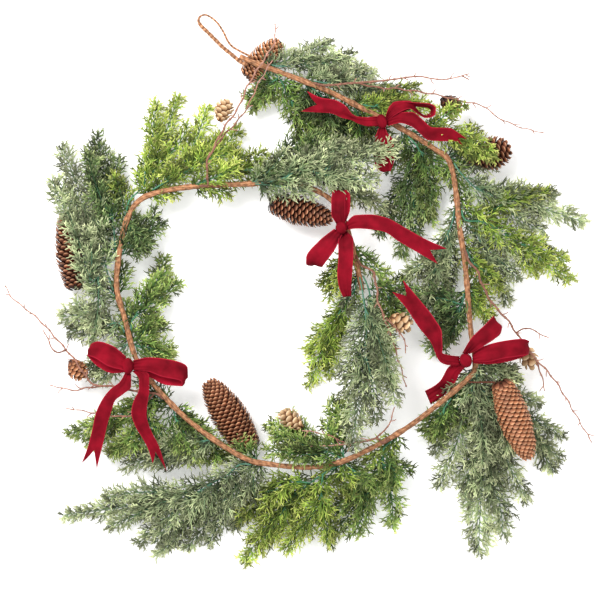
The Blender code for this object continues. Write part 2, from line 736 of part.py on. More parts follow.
# The sprays in the order in which they are laid, each over those before it.
# A frond: root on the stem and side, route, half width, pairs
LOW_SPRAYS = [
    ("sage", [((262, 66), 0, [(300, 64, 26), (335, 63, 14), (366, 67, 5)], 25, 4)]),
    ("green", [((262, 66), 215, [(290, 98, 24), (313, 124, 12), (335, 147, 2)], 25, 4),
               (1, 0, [(262, 90, 26), (250, 108, 12)], 15, 3)]),
    ("dark", [((304, 82), 180, [(333, 112, 24), (365, 132, 12), (398, 148, 3)], 25, 4)]),
    ("sage", [((304, 82), 0, [(342, 84, 26), (375, 92, 16), (408, 102, 7)], 22, 3)]),
    ("bright", [((352, 103), 0, [(388, 103, 26), (425, 105, 14), (459, 117, 5)], 20, 3)]),
    ("dark", [((402, 129), 250, [(413, 168, 22), (406, 212, 11), (404, 258, 2)], 24, 4)]),
    ("green", [((402, 129), 180, [(427, 165, 28), (432, 192, 16), (431, 222, 6)], 20, 3)]),
    ("bright", [((402, 129), 0, [(432, 131, 46), (465, 140, 49), (497, 157, 47)], 17, 3)]),
    ("sage", [((445, 156), 0, [(480, 190, 28), (525, 201, 10), (558, 212, 0.4),
                               (587, 222, 0.4)], 24, 4)]),
    ("sage", [((457, 200), 315, [(480, 238, 26), (500, 270, 14), (508, 306, 3)], 22, 3)]),
    ("bright", [((457, 200), 0, [(485, 222, 28), (527, 248, 14), (573, 281, 1)], 27, 4)]),
    ("sage", [((457, 200), 190, [(443, 250, 26), (444, 302, 14), (447, 350, 5)], 17, 3),
              (2, 0, [(433, 260, 26), (402, 281, 10)], 17, 3)]),
    ("bright", [((461, 240), 0, [(479, 278, 28), (492, 318, 12)], 18, 3)]),
    ("dark", [((467, 283), 180, [(450, 318, 26), (430, 352, 12), (411, 382, 3)], 22, 4),
              (1, 0, [(436, 298, 28), (401, 312, 14)], 16, 3)]),
    ("sage", [((474.5, 361), 0, [(479, 390, 26), (487, 410, 16), (487, 460, 5),
                                 (482, 505, 0.4), (480, 557, 0.4)], 38, 5),
              (1, 0, [(512, 410, 14), (540, 440, 5), (563, 461, 1)], 22, 3)]),
    ("green", [((456, 388), 0, [(437, 424, 24), (410, 466, 3)], 24, 4)]),
    ("green", [((398, 433), 0, [(382, 468, 26), (357, 505, 12), (328, 544, 1)], 24, 4),
               (2, 0, [(394, 470, 22), (387, 510, 5)], 20, 3)]),
    ("bright", [((345, 461), 0, [(302, 490, 24), (268, 525, 10), (243, 566, 1)], 26, 4),
                (1, 0, [(318, 506, 18), (300, 530, 8), (284, 553, 1)], 20, 3),
                (2, 0, [(285, 482, 30), (262, 500, 20), (238, 522, 8)], 17, 3)]),
    ("green", [((345, 461), 180, [(308, 440, 28), (285, 431, 20), (266, 424, 12)], 19, 3)]),
    ("sage", [((262, 463), 315, [(232, 488, 24), (210, 520, 11), (185, 551, 1)], 24, 4)]),
    ("sage", [((262, 463), 0, [(222, 478, 30), (180, 495, 18), (125, 508, 5),
                               (90, 513, 0.4), (60, 517, 0.4)], 24, 5),
              (2, 0, [(176, 508, 14), (137, 546, 1)], 22, 3)]),
    ("green", [((172, 405), 0, [(130, 414, 22), (95, 427, 9), (57, 438, 1)], 22, 4),
               (2, 0, [(150, 430, 20), (128, 445, 9), (106, 453, 1)], 18, 3)]),
    ("green", [((130, 342), 180, [(149, 305, 26), (157, 280, 14), (164, 256, 4)], 21, 3)]),
    ("sage", [((130, 342), 0, [(106, 324, 26), (82, 316, 12), (58, 317, 1)], 20, 3)]),
    ("sage", [((120, 300), 0, [(100, 245, 34), (80, 195, 24), (60, 145, 4)], 28, 4),
              (2, 0, [(93, 282, 40), (82, 250, 44), (68, 212, 42)], 19, 3)]),
    ("dark", [((119, 262), 0, [(112, 212, 28), (104, 170, 16), (94, 133, 3)], 22, 3)]),
    ("bright", [((127, 222), 0, [(144, 185, 28), (162, 140, 14), (172, 110, 0.4), (176, 94, 0.4)], 24, 4)]),
    ("bright", [((144, 198), 0, [(176, 175, 26), (193, 145, 14), (207, 104, 3)], 19, 3),
                (2, 0, [(190, 170, 30), (217, 152, 20), (240, 128, 8)], 18, 3)]),
    ("bright", [((190, 187), 0, [(232, 172, 34), (262, 168, 28), (293, 172, 22)], 20, 3)]),
    ("dark", [((251, 184), 0, [(286, 166, 28), (312, 152, 16), (338, 138, 5)], 22, 3)]),
    ("sage", [((251, 184), 30, [(292, 170, 40), (325, 177, 40), (360, 192, 30), (389, 212, 18)], 18, 3)]),
    ("bright", [((357, 268), 180, [(343, 306, 26), (325, 345, 12), (309, 388, 1)], 24, 4)]),
    ("green", [((357, 268), 0, [(376, 325, 24), (386, 368, 12), (392, 408, 2)], 20, 3),
               (1, 0, [(382, 290, 30), (402, 318, 18)], 15, 3)]),
]
TOP_SPRAYS = [
    ("sage", [((251, 184), 90, [(300, 174, 54), (348, 166, 58), (398, 146, 54)], 26, 4)]),
    ("sage", [((357, 268), 90, [(366, 330, 50), (360, 390, 44), (352, 447, 46)], 32, 5)]),
]

# Cones: root on the stem, side, base, apex, radius, rows, scales
CONES = [
    ("pine_cone_1", "tan", (255, 64), 270, (247, 76, 19), (280, 41, 18), 0.0170, 6, 5),
    ("pine_cone_2", "brown", (452, 171), 0, (464, 163, 27), (508, 147, 22), 0.0185, 6, 5),
    ("pine_cone_3", "tan", (466, 379), 30, (501, 382, 44), (529, 457, 27), 0.0195, 7, 6),
    ("pine_cone_4", "brown", (250, 460), 270, (250, 449, 23), (209, 384, 23), 0.0220, 7, 6),
    ("pine_cone_5", "brown", (117, 289), 290, (74, 288, 22), (64, 216, 21), 0.0175, 6, 5),
    ("pine_cone_6", "brown", (265, 185), 215, (271, 203, 32), (331, 219, 31), 0.0180, 6, 5),
]
# Small cones: colour, the twig they hang on, base, apex, radius, rows, scales
SMALL_CONES = [
    ("small_cone_1", "brown", "twig_1", (442, 99, 42), (458, 110, 36), 0.0125, 3, 5),
    ("small_cone_2", "tan", "twig_2", (71, 361, 34), (82, 377, 30), 0.0125, 3, 5),
    ("small_cone_3", "pale", "twig_3", (219, 120, 46), (226, 104, 43), 0.0110, 3, 4),
    ("small_cone_4", "pale", "twig_4", (301, 427, 38), (282, 413, 36), 0.0120, 3, 5),
    ("small_cone_5", "pale", "twig_6", (391, 317, 46), (409, 327, 40), 0.0130, 3, 5),
    ("small_cone_6", "pale", "twig_5", (520, 345, 32), (534, 366, 25), 0.0120, 3, 5),
]
# Twigs: root on the stem, side, strands
TWIGS = [
    ("twig_1", (304, 82), 60, [
        (0, [(350, 84, 48), (385, 81, 46), (418, 77, 44), (443, 80, 42), (469, 74, 40)]),
        (0.28, [(375, 88, 50), (400, 90, 52), (437, 96, 54), (457, 101, 54), (485, 108, 50),
                (494, 116, 48), (521, 128, 44), (543, 133, 42)]),
        (0.95, [(469, 80, 40)]),
    ]),
    ("twig_2", (172, 405), 45, [
        (0, [(142, 392, 48), (115, 386, 46), (94, 384, 44), (75, 359, 48), (56, 338, 38),
             (38, 319, 32), (10, 296, 24), (4, 285, 22)]),
        (0.30, [(92, 387, 42), (73, 390, 38), (50, 385, 34)]),
        (0.05, [(131, 415, 46), (98, 413, 42), (66, 408, 38)]),
        (0.56, [(57, 352, 46), (43, 329, 40)]),
    ]),
    ("twig_3", (190, 187), 90, [
        (0, [(207, 165, 52), (216, 145, 54), (225, 128, 56), (239, 108, 56), (248, 87, 56),
             (264, 61, 56), (275, 42, 54), (275, 24, 52)]),
        (0.25, [(228, 132, 50), (240, 119, 50), (249, 105, 50), (260, 82, 54), (273, 61, 54)]),
    ]),
    ("twig_4", (398, 433), 90, [
        (0, [(378, 438, 50), (358, 442, 50), (331, 445, 48), (310, 446, 46)]),
        (0.55, [(325, 434, 46), (302, 430, 46)]),
        (0.22, [(388, 425, 52), (394, 407, 52)]),
    ]),
    ("twig_5", (461, 240), 60, [
        (0, [(477, 272, 48), (483, 288, 48), (494, 306, 46), (507, 320, 44), (529, 352, 42),
             (553, 378, 36), (578, 418, 26), (593, 443, 16)]),
        (0.42, [(524, 328, 42), (549, 338, 38)]),
        (0.56, [(541, 374, 36), (545, 391, 30)]),
    ]),
    ("twig_6", (351, 246), 60, [
        (0, [(373, 273, 52), (378, 302, 54), (388, 329, 54), (396, 353, 52), (406, 387, 48)]),
        (0.47, [(404, 340, 55), (405, 353, 52)]),
    ]),
]
# Bows: turn round the stem, knot's far end, loops and tails
BOWS = [
    ("ribbon_bow_1", (379, 117), (384, 129, 53),
     [((433, 108), 51, 63, (0, -4)), ((383, 163), 48, 58, (0, 0))],
     [[(382, 122, 52, 0), (364, 124, 54, 40), (350, 116, 58, 60), (334, 108, 56, 20), (307, 102, 50, 0)],
      [(382, 122, 53, 0), (400, 117, 58, 0), (416, 123, 60, 0), (432, 133, 59, 0), (463, 141, 56, 5)]]),
    ("ribbon_bow_2", (472.5, 345.5), (459, 361, 53),
     [((498, 322), 51, 64, (3, 3)), ((527, 347), 46, 58, (0, 4))],
     [[(466, 354, 52, 0), (449, 358, 55, 50), (437, 352, 58, 85), (431, 338, 57, 30), (400, 290, 50, 0)],
      [(464, 356, 49, 0), (455, 371, 42, 0), (446, 382, 31, 0), (436, 397, 27, 0)]]),
    ("ribbon_bow_3", (137, 360), (121, 367, 52),
     [((94, 345), 49, 62, (3, 8)), ((189, 379), 46, 58, (4, -6))],
     [[(129, 364, 51, 0), (130, 378, 55, 40), (112, 396, 54, 10), (103, 420, 48, 0), (91, 464, 40, 0)],
      [(136, 362, 53, 0), (147, 380, 58, 40), (140, 410, 54, 10), (146, 430, 50, 20), (160, 466, 42, 0)]]),
    ("ribbon_bow_4", (346, 227), (333, 228, 57),
     [((341, 196), 54, 65, (0, 0)), ((310, 263), 46, 58, (-5, -4))],
     [[(342, 228, 55, 0), (362, 220, 62, 10), (395, 221, 64, 0), (415, 233, 60, 0), (440, 255, 54, 0)],
      [(342, 228, 51, 0), (347, 245, 62, 0), (346, 270, 64, 0), (344, 298, 60, 0)]]),
]


def build():
    """Make the garland from the surface upwards."""
    for thing in list(bpy.data.objects):
        bpy.data.objects.remove(thing)
    finish = {
        "sage": colour("sage foliage", (0.25, 0.35, 0.18)),
        "green": colour("green foliage", (0.12, 0.26, 0.06)),
        "bright": colour("bright foliage", (0.28, 0.42, 0.06)),
        "dark": colour("dark foliage", (0.05, 0.12, 0.04)),
        "bark": colour("paper wrapped wire", (0.36, 0.18, 0.08), 0.8),
        "twig": colour("twig", (0.32, 0.17, 0.14), 0.8),
        "tan": colour("tan cone", (0.45, 0.20, 0.09), 0.8),
        "brown": colour("brown cone", (0.20, 0.09, 0.05), 0.8),
        "pale": colour("pale cone", (0.60, 0.38, 0.20), 0.8),
        "velvet": colour("crimson velvet", (0.25, 0.005, 0.015), 0.9),
    }
    for row in CONES:
        name, look, *rest = row
        thing = cone(name, finish[look], *rest)
        if name in ("pine_cone_1", "pine_cone_2", "pine_cone_5"):
            heap_up(thing.data)
    number = 0
    for look, fronds in LOW_SPRAYS:
        number += 1
        spray(f"cedar_spray_{number:02d}", finish[look], fronds)
    main_stem(finish["bark"])
    hanging_loop(finish["bark"])
    for name, root, side, strands in TWIGS:
        heap_up(twig(name, finish["twig"], root, side, strands).data)
    for name, look, *rest in SMALL_CONES:
        small_cone(name, finish[look], *rest)
    for name, root, knot, loops, tails in BOWS:
        heap_up(bow(name, finish["velvet"], root, knot, loops, tails).data)
    for name in ("main_stem", "pine_cone_2", "pine_cone_6"):
        heap_up(bpy.data.objects[name].data)
    for look, fronds in TOP_SPRAYS:
        number += 1
        spray(f"cedar_spray_{number:02d}", finish[look], fronds)


build()
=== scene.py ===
# %% [markdown]
# # A cedar garland with cones, twigs and velvet bows
# The garland is an artificial one: a long wire wound in brown crepe paper, with moulded cedar
# sprays bound on at short wraps, real pine cones and bare twigs between them, and four bows.
# It lies curled on a white table and is seen from straight above.
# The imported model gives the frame. Every piece below is worked out with numpy, in metres.

import bpy
import numpy as np
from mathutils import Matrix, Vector
from mathutils.bvhtree import BVHTree


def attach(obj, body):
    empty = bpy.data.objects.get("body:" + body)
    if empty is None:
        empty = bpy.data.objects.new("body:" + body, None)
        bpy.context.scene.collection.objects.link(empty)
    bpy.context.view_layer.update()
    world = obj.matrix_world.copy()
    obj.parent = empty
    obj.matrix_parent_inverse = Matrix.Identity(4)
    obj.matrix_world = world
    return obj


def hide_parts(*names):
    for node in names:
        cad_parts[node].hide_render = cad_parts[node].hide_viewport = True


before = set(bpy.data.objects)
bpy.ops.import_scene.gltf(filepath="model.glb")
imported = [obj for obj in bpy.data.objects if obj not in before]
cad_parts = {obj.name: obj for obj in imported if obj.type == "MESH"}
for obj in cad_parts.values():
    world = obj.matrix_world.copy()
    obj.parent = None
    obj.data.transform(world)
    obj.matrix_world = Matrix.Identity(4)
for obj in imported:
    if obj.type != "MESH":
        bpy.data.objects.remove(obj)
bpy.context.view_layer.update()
print("nodes in the frame:", len(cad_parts))

# %% [markdown]
# ## One plan for everything
# Routes are written as plan units, u to the right and v down, with a height in millimetres.
# The garland is 592 units and 710 mm wide, so one unit is 1.2 mm. Writing all routes on one
# plan keeps a spray, its wrap and the stem together.

# %% Plan
UNIT = 0.710 / 592.0
MIDDLE = (299.0, 290.0)
MM = 0.001
UP = np.array([0.0, 0.0, 1.0])


def plan(points):
    """x = (u - middle) * unit, y = (middle - v) * unit, z = height in millimetres."""
    p = np.asarray(points, float)
    return np.column_stack([
        (p[:, 0] - MIDDLE[0]) * UNIT, (MIDDLE[1] - p[:, 1]) * UNIT, p[:, 2] * MM])


def distances(line):
    """The running sum of the steps between a line's points."""
    return np.concatenate([[0.0], np.cumsum(np.linalg.norm(np.diff(line, axis=0), axis=1))])


def at(line, where):
    """Points at given distances along a line; past its ends it runs on straight."""
    s = distances(line)
    where = np.asarray(where, float)
    inside = np.clip(where, 0.0, s[-1])
    found = np.stack([np.interp(inside, s, line[:, k]) for k in range(3)], axis=-1)
    first = (line[1] - line[0]) / np.linalg.norm(line[1] - line[0])
    last = (line[-1] - line[-2]) / np.linalg.norm(line[-1] - line[-2])
    before, after = np.minimum(where, 0.0), np.maximum(where - s[-1], 0.0)
    return found + before[..., None] * first + after[..., None] * last


# %% Smooth lines and their frames
def smooth(points, step=0.002):
    """A centripetal Catmull-Rom curve: each span is a blend of blends of its four points."""
    p = np.asarray(points, float)
    p = np.vstack([2 * p[0] - p[1], p, 2 * p[-1] - p[-2]])
    knots = np.concatenate([[0.0], np.cumsum(np.sqrt(np.linalg.norm(np.diff(p, axis=0), axis=1)))])
    spans = []
    for k in range(1, len(p) - 2):
        t0, t1, t2, t3 = knots[k - 1:k + 3]
        t = np.linspace(t1, t2, 16, endpoint=False)[:, None]
        a1 = ((t1 - t) * p[k - 1] + (t - t0) * p[k]) / (t1 - t0)
        a2 = ((t2 - t) * p[k] + (t - t1) * p[k + 1]) / (t2 - t1)
        a3 = ((t3 - t) * p[k + 1] + (t - t2) * p[k + 2]) / (t3 - t2)
        b1 = ((t2 - t) * a1 + (t - t0) * a2) / (t2 - t0)
        b2 = ((t3 - t) * a2 + (t - t1) * a3) / (t3 - t1)
        spans.append(((t2 - t) * b1 + (t - t1) * b2) / (t2 - t1))
    line = np.vstack(spans + [p[-2:-1]])
    length = distances(line)[-1]
    return at(line, np.linspace(0.0, length, max(3, int(length / step) + 1)))


def frames(line, where):
    """Point, forward, left and up at distances along a line; left is level."""
    where = np.asarray(where, float)
    middle = at(line, where)
    forward = at(line, where + 0.001) - at(line, where - 0.001)
    forward /= np.linalg.norm(forward, axis=-1)[..., None]
    left = np.cross(UP, forward)
    left /= np.linalg.norm(left, axis=-1)[..., None] + 1e-12
    return middle, forward, left, np.cross(forward, left)


# %% [markdown]
# ## Meshes from arrays
# A tube is a ring carried along a path, and a garland is thousands of tubes. All rings of all
# tubes are worked out as one array, and foreach_set puts them in a mesh in one go.

# %% A piece from arrays
def piece(name, made, material, replaces):
    """One finished object from (points, quads, triangles, fields), riding on the frame."""
    points, quads, triangles, fields = made
    corners = np.concatenate([np.ravel(quads), np.ravel(triangles)]).astype(np.int32)
    starts = np.concatenate([4 * np.arange(len(quads)),
                             4 * len(quads) + 3 * np.arange(len(triangles))]).astype(np.int32)
    mesh = bpy.data.meshes.new(name)
    mesh.vertices.add(len(points))
    mesh.vertices.foreach_set("co", points.astype(np.float32).ravel())
    mesh.loops.add(len(corners))
    mesh.loops.foreach_set("vertex_index", corners)
    mesh.polygons.add(len(starts))
    mesh.polygons.foreach_set("loop_start", starts)
    mesh.polygons.foreach_set("use_smooth", np.ones(len(starts), bool))
    mesh.update(calc_edges=True)
    for field, values in fields.items():
        layer = mesh.attributes.new(field, "FLOAT", "POINT")
        layer.data.foreach_set("value", np.asarray(values, np.float32))
    mesh.validate()
    mesh.materials.append(material)
    shown = bpy.data.objects.new(name, mesh)
    bpy.context.scene.collection.objects.link(shown)
    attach(shown, "root")
    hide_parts(*replaces)
    return shown


# %% Tubes
def tubes(middle, left, up, wide, high, sides):
    """Closed tubes, all at once: point = middle + cos(a) wide left + sin(a) high up.

    middle, left and up are tubes x rings x 3; wide and high are tubes x rings, or tubes x
    rings x sides where they change round the ring.
    """
    count, rings = wide.shape[:2]
    wide, high = wide.reshape(count, rings, -1), high.reshape(count, rings, -1)
    angle = np.arange(sides) * 2 * np.pi / sides
    ring = middle[:, :, None] + (np.cos(angle) * wide)[..., None] * left[:, :, None]
    ring = ring + (np.sin(angle) * high)[..., None] * up[:, :, None]
    index = np.arange(count * rings * sides).reshape(count, rings, sides)
    a, b = index[:, :-1], index[:, 1:]
    quads = np.stack([a, np.roll(a, -1, axis=2), np.roll(b, -1, axis=2), b], axis=-1)
    first, last = index[:, 0], index[:, -1]
    fans = [np.stack([first[:, 0], first[:, j + 1], first[:, j]], -1) for j in range(1, sides - 1)]
    fans += [np.stack([last[:, 0], last[:, j], last[:, j + 1]], -1) for j in range(1, sides - 1)]
    return ring.reshape(-1, 3), quads.reshape(-1, 4), np.vstack(fans)


def tube_along(line, radius, sides, step=0.002):
    """One tube along a line, as (points, quads, triangles) and each point's distance.

    radius is a function of the distances, as a column, and the angles, as a row.
    """
    where = np.arange(0.0, distances(line)[-1] + step / 2, step)
    middle, _, left, up = frames(line, where)
    size = radius(where[:, None], np.arange(sides)[None] * 2 * np.pi / sides)
    size = np.broadcast_to(size, (len(where), sides))[None]
    return tubes(middle[None], left[None], up[None], size, size, sides), np.repeat(where, sides)


# %% Parts of one piece
def joined(parts):
    """Several (points, quads, triangles, fields) as one, with the indices moved on."""
    offsets = np.cumsum([0] + [len(p[0]) for p in parts[:-1]])
    quads, triangles = [np.vstack([p[kind] + k for p, k in zip(parts, offsets)])
                        for kind in (1, 2)]
    fields = {name: np.concatenate([p[3][name] for p in parts]) for name in parts[0][3]}
    return np.vstack([p[0] for p in parts]), quads, triangles, fields


def even_fields(made, **values):
    """A tube with fields that have one value all over it."""
    return (*made, {name: np.full(len(made[0]), value) for name, value in values.items()})


# %% [markdown]
# ## Materials
# Each finish reads one or two numbers that the mesh carries, such as how near a leaf is to
# its tip, and turns them into colour. Fine grain is a noise on the object's own coordinates.
# The grain is used by every finish, so it is a node group.

# %% Node helpers
def node(tree, kind, inputs=None, **settings):
    """A new shader node with its inputs and its own settings filled in."""
    made = tree.nodes.new("ShaderNode" + kind)
    for name, value in (inputs or {}).items():
        made.inputs[name].default_value = value
    for name, value in settings.items():
        setattr(made, name, value)
    return made


def multiply(tree, colour, factor):
    """The colour socket that holds colour times factor."""
    mix = node(tree, "Mix", {0: 1.0}, data_type="RGBA", blend_type="MULTIPLY")
    tree.links.new(colour, mix.inputs[6])
    tree.links.new(factor, mix.inputs[7])
    return mix.outputs[2]


# %% Shared node group: grain
def grain_group():
    """Two sizes of noise: a coarse one as a mask from 0 to 1 and a fine one as a height."""
    group = bpy.data.node_groups.new("grain", "ShaderNodeTree")
    for way, names in (("INPUT", ("Coarse", "Fine")), ("OUTPUT", ("Mask", "Height"))):
        for name in names:
            group.interface.new_socket(name, in_out=way, socket_type="NodeSocketFloat")
    inside, outside = group.nodes.new("NodeGroupInput"), group.nodes.new("NodeGroupOutput")
    place = node(group, "TexCoord")
    for socket, target in (("Coarse", "Mask"), ("Fine", "Height")):
        noise = node(group, "TexNoise", {"Detail": 3.0})
        group.links.new(place.outputs["Object"], noise.inputs["Vector"])
        group.links.new(inside.outputs[socket], noise.inputs["Scale"])
        group.links.new(noise.outputs["Fac"], outside.inputs[target])
    return group


GRAIN = grain_group()
print("grain group sockets:", [item.name for item in GRAIN.interface.items_tree])

# %% A finish
BUMP_DEPTH = 0.0004


def finish(name, stops, field, roughness, coarse, fine, vary, bump, tone=None, gloss=0.3):
    """A material: colour = ramp(field) x grain within 1 - vary to 1 + 0.6 vary x tone's range."""
    material = bpy.data.materials.new(name)
    material.use_nodes = True
    tree = material.node_tree
    shader = tree.nodes["Principled BSDF"]
    shader.inputs["Roughness"].default_value = roughness
    shader.inputs["Specular IOR Level"].default_value = gloss
    reader = node(tree, "Attribute", attribute_name=field)
    ramp = node(tree, "ValToRGB")
    while len(ramp.color_ramp.elements) < len(stops):
        ramp.color_ramp.elements.new(0.5)
    for element, (spot, rgb) in zip(ramp.color_ramp.elements, stops):
        element.position = spot
        element.color = (*rgb, 1.0)
    grain = node(tree, "Group", node_tree=GRAIN)
    grain.inputs["Coarse"].default_value = coarse
    grain.inputs["Fine"].default_value = fine
    spread = node(tree, "MapRange", {"From Min": 0.3, "From Max": 0.7, "To Min": 1 - vary,
                                     "To Max": 1 + vary * 0.6})
    tree.links.new(reader.outputs["Fac"], ramp.inputs["Fac"])
    tree.links.new(grain.outputs["Mask"], spread.inputs["Value"])
    colour = multiply(tree, ramp.outputs["Color"], spread.outputs["Result"])
    if tone:
        second = node(tree, "Attribute", attribute_name="tone")
        deep = node(tree, "MapRange", {"To Min": tone[0], "To Max": tone[1]})
        tree.links.new(second.outputs["Fac"], deep.inputs["Value"])
        colour = multiply(tree, colour, deep.outputs["Result"])
    tree.links.new(colour, shader.inputs["Base Color"])
    height = node(tree, "Bump", {"Strength": bump, "Distance": BUMP_DEPTH})
    tree.links.new(grain.outputs["Height"], height.inputs["Height"])
    tree.links.new(height.outputs["Normal"], shader.inputs["Normal"])
    return material


# %% [markdown]
# ## The main stem
# The stem is a wire wound in crepe paper. The paper laps over itself every few millimetres,
# so its radius steps up along a helix, and it swells where a spray is bound on. Its creases
# are low waves and fine ribs. A radius that is a function of the distance and the angle gives
# all of them. The wraps are numbered from 0 at the loop's end, and sprays and twigs name
# them by number.

# %% The stem's route
STEM_ROUTE = [
    (240, 57, 42), (256, 64, 44), (270, 69, 45), (289, 76, 44), (327, 91, 42),
    (359, 107, 41), (400, 128, 40), (436, 150, 39), (447, 158, 39), (452, 170, 39),
    (456, 194, 39), (459, 224, 39), (465, 265, 38), (471, 334, 39), (475, 360, 40),
    (474, 371, 40), (466, 380, 40), (432, 409, 39), (400, 432, 38), (359, 454, 38),
    (343, 461, 38), (310, 467, 40), (264, 463, 44), (250, 460, 45), (229, 449, 44),
    (192, 423, 40), (164, 396, 38), (137, 360, 38), (125, 319, 38), (117, 289, 38),
    (119, 255, 38), (127, 220, 39), (137, 203, 40), (150, 195, 41), (190, 187, 42),
    (251, 184, 43), (280, 182, 44), (310, 188, 45), (334, 203, 44), (346, 225, 43),
    (353, 250, 41), (358, 271, 41), (362, 290, 40),
]
WRAPS = [
    (262, 66), (304, 82), (352, 103), (402, 129), (445, 156), (457, 200), (461, 240),
    (467, 283), (474.5, 361), (456, 388), (398, 433), (345, 461), (262, 463), (215, 440),
    (172, 405), (130, 342), (120, 300), (119, 262), (127, 222), (144, 198), (190, 187),
    (251, 184), (351, 246), (357, 268),
]
STEM = smooth(plan(STEM_ROUTE))
print("stem length", round(distances(STEM)[-1], 3), "m, wraps", len(WRAPS))

# %% Crepe paper
STEM_RADIUS = 0.0034
STEM_SIDES = 24
WRAP_LENGTH = 0.022
PAPER_LAP = 0.0085
WRAP_SWELL = 0.0006


def station(u, v):
    """How far along the stem the point nearest to a plan point is."""
    spot = plan([(u, v, 0)])[0]
    return distances(STEM)[int(np.argmin(np.linalg.norm(STEM[:, :2] - spot[:2], axis=1)))]


def paper(where, angle):
    """Radius = base (0.96 + 0.07 lap + waves + ribs) + a bell-shaped bulge at each wrap.

    lap runs from 0 to 1 once a turn of the helix, and the ribs run along the stem.
    """
    base = STEM_RADIUS * 0.90
    lap = (angle / (2 * np.pi) - where / PAPER_LAP) % 1.0
    size = base * (0.96 + 0.07 * lap)
    size = size + base * 0.05 * np.sin(where * 310.0 + 2 * angle)
    size = size + base * 0.035 * np.sin(9 * angle + 1.5 * np.sin(where * 190.0))
    for u, v in WRAPS:
        size = size + WRAP_SWELL * np.exp(-((where - station(u, v)) / (0.36 * WRAP_LENGTH)) ** 2)
    return size


# The ramp paints shade in the creases of the paper and highlight on its ridges.
bark = finish("crepe paper", [(0.0, (0.22, 0.085, 0.035)), (0.45, (0.38, 0.17, 0.08)),
                              (1.0, (0.52, 0.27, 0.14))], "painted_crease_shading", 0.75, 260, 2200, 0.6, 0.8)
made, along = tube_along(STEM, paper, STEM_SIDES, 0.0011)
angle = np.tile(np.arange(STEM_SIDES) * 2 * np.pi / STEM_SIDES, len(along) // STEM_SIDES)
# The colour paints shade and light along creases that waver along the stem, and slanting ones.
painted_crease_shading = 0.5 + 0.30 * np.sin(7 * angle + 2.2 * np.sin(along * 120.0)) \
    + 0.20 * np.sin(2 * angle - along * 740.0)
piece("crepe_stem", (*made, {"painted_crease_shading": painted_crease_shading}), bark, ["main_stem"])
print("stem quads", len(made[1]))

# %% [markdown]
# ## The hanging loop
# The wire's end is bent into a loop. It starts as one bare wire and comes back wound with a
# second one, about twice as thick. The radius eases from one to the other at the loop's top.

# %% Hanging loop
LOOP_ROUTE = [
    (253.8, 58, 43), (246.8, 55, 43), (239, 51, 43), (232.5, 47, 42), (228, 41.5, 41),
    (223.7, 32.6, 40), (217.6, 23.4, 39), (210.4, 17.2, 38), (204.8, 15, 38), (200.2, 16.8, 38),
    (198.6, 21, 38), (200.8, 25.5, 38), (206.8, 31.5, 39), (215.5, 40.2, 40), (223.2, 47.9, 41),
    (230.8, 54, 41), (236, 58.5, 41), (241.2, 62.5, 41), (247.2, 65.1, 42),
]
loop_line = smooth(plan(LOOP_ROUTE), 0.001)
loop_length = distances(loop_line)[-1]


def loop_radius(where, angle):
    """Thin wire, then about twice as thick with a twisted outline from the loop's top on."""
    share = np.clip((where / loop_length - 0.50) / 0.08, 0, 1)
    twist = 0.12 * np.cos(2 * angle - where * 700)
    return 0.00125 + share * 0.0011 * (1 + twist) + 0.00008 * np.sin(where * 1500)


made, along = tube_along(loop_line, loop_radius, 12, 0.001)
# Painted shade and light in bands along the wound wire.
painted_crease_shading = 0.5 + 0.5 * np.sin(along * 1200)
piece("wire_loop", (*made, {"painted_crease_shading": painted_crease_shading}), bark, ["hanging_loop"])
print("loop length", round(loop_length, 3), "m")

# %% [markdown]
# ## Where the model's pieces lie
# The routes of sprays and twigs are known in plan. Their heights are read off the frame: a
# ray dropped on the node at each point of the route meets the blade that collides there, so
# what is drawn and what collides stay together.

# %% Heights from the frame
def tree_of(name):
    """A search tree of one node's triangles."""
    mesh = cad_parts[name].data
    spots = np.empty(len(mesh.vertices) * 3)
    mesh.vertices.foreach_get("co", spots)
    corners = np.empty(len(mesh.loops), np.int64)
    mesh.loops.foreach_get("vertex_index", corners)
    return BVHTree.FromPolygons(spots.reshape(-1, 3).tolist(), corners.reshape(-1, 3).tolist())


SINK = 0.0006
TOUCH = 0.001


def settle(line, tree):
    """The line moved up or down to just under the node's top, evened out along its run."""
    hits = [tree.ray_cast(Vector((x, y, 0.2)), Vector((0, 0, -1)))[0] for x, y, _ in line]
    found = np.array([np.nan if hit is None else hit.z - SINK for hit in hits])
    seen = ~np.isnan(found)
    s = distances(line)
    height = np.interp(s, s[seen], found[seen]) if seen.any() else line[:, 2]
    padded = np.concatenate([np.repeat(height[0], 4), height, np.repeat(height[-1], 4)])
    even = np.convolve(padded, np.ones(9) / 9, "valid")
    return np.column_stack([line[:, :2], even])


def seat(root, side, reach):
    """A point beside the stem at an angle round it: 0 left, 90 above, 180 right, 270 below.

    reach is how far past the plan point root it lies. The stem's forward way and the way out
    come with it.
    """
    middle, forward, left, up = frames(STEM, np.array([station(*root) + reach]))
    turn = np.radians(side)
    out = np.cos(turn) * left[0] + np.sin(turn) * up[0]
    return middle[0] + out * (STEM_RADIUS + TOUCH), forward[0], out


# %% [markdown]
# ## Cedar sprays
# A moulded cedar spray is a flat fan: a stalk, side branches by turns, branchlets on those
# and short forked fingers at the ends. Each order repeats the one above at about a third of
# its size and leans the same way, so one rule makes all of them. A branch leaves its parent
# at a wide angle and curls forward. Tips are new growth and are yellower than the base.

# %% Curved branches
FOLIAGE_SEED = 11
rng = np.random.default_rng(FOLIAGE_SEED)


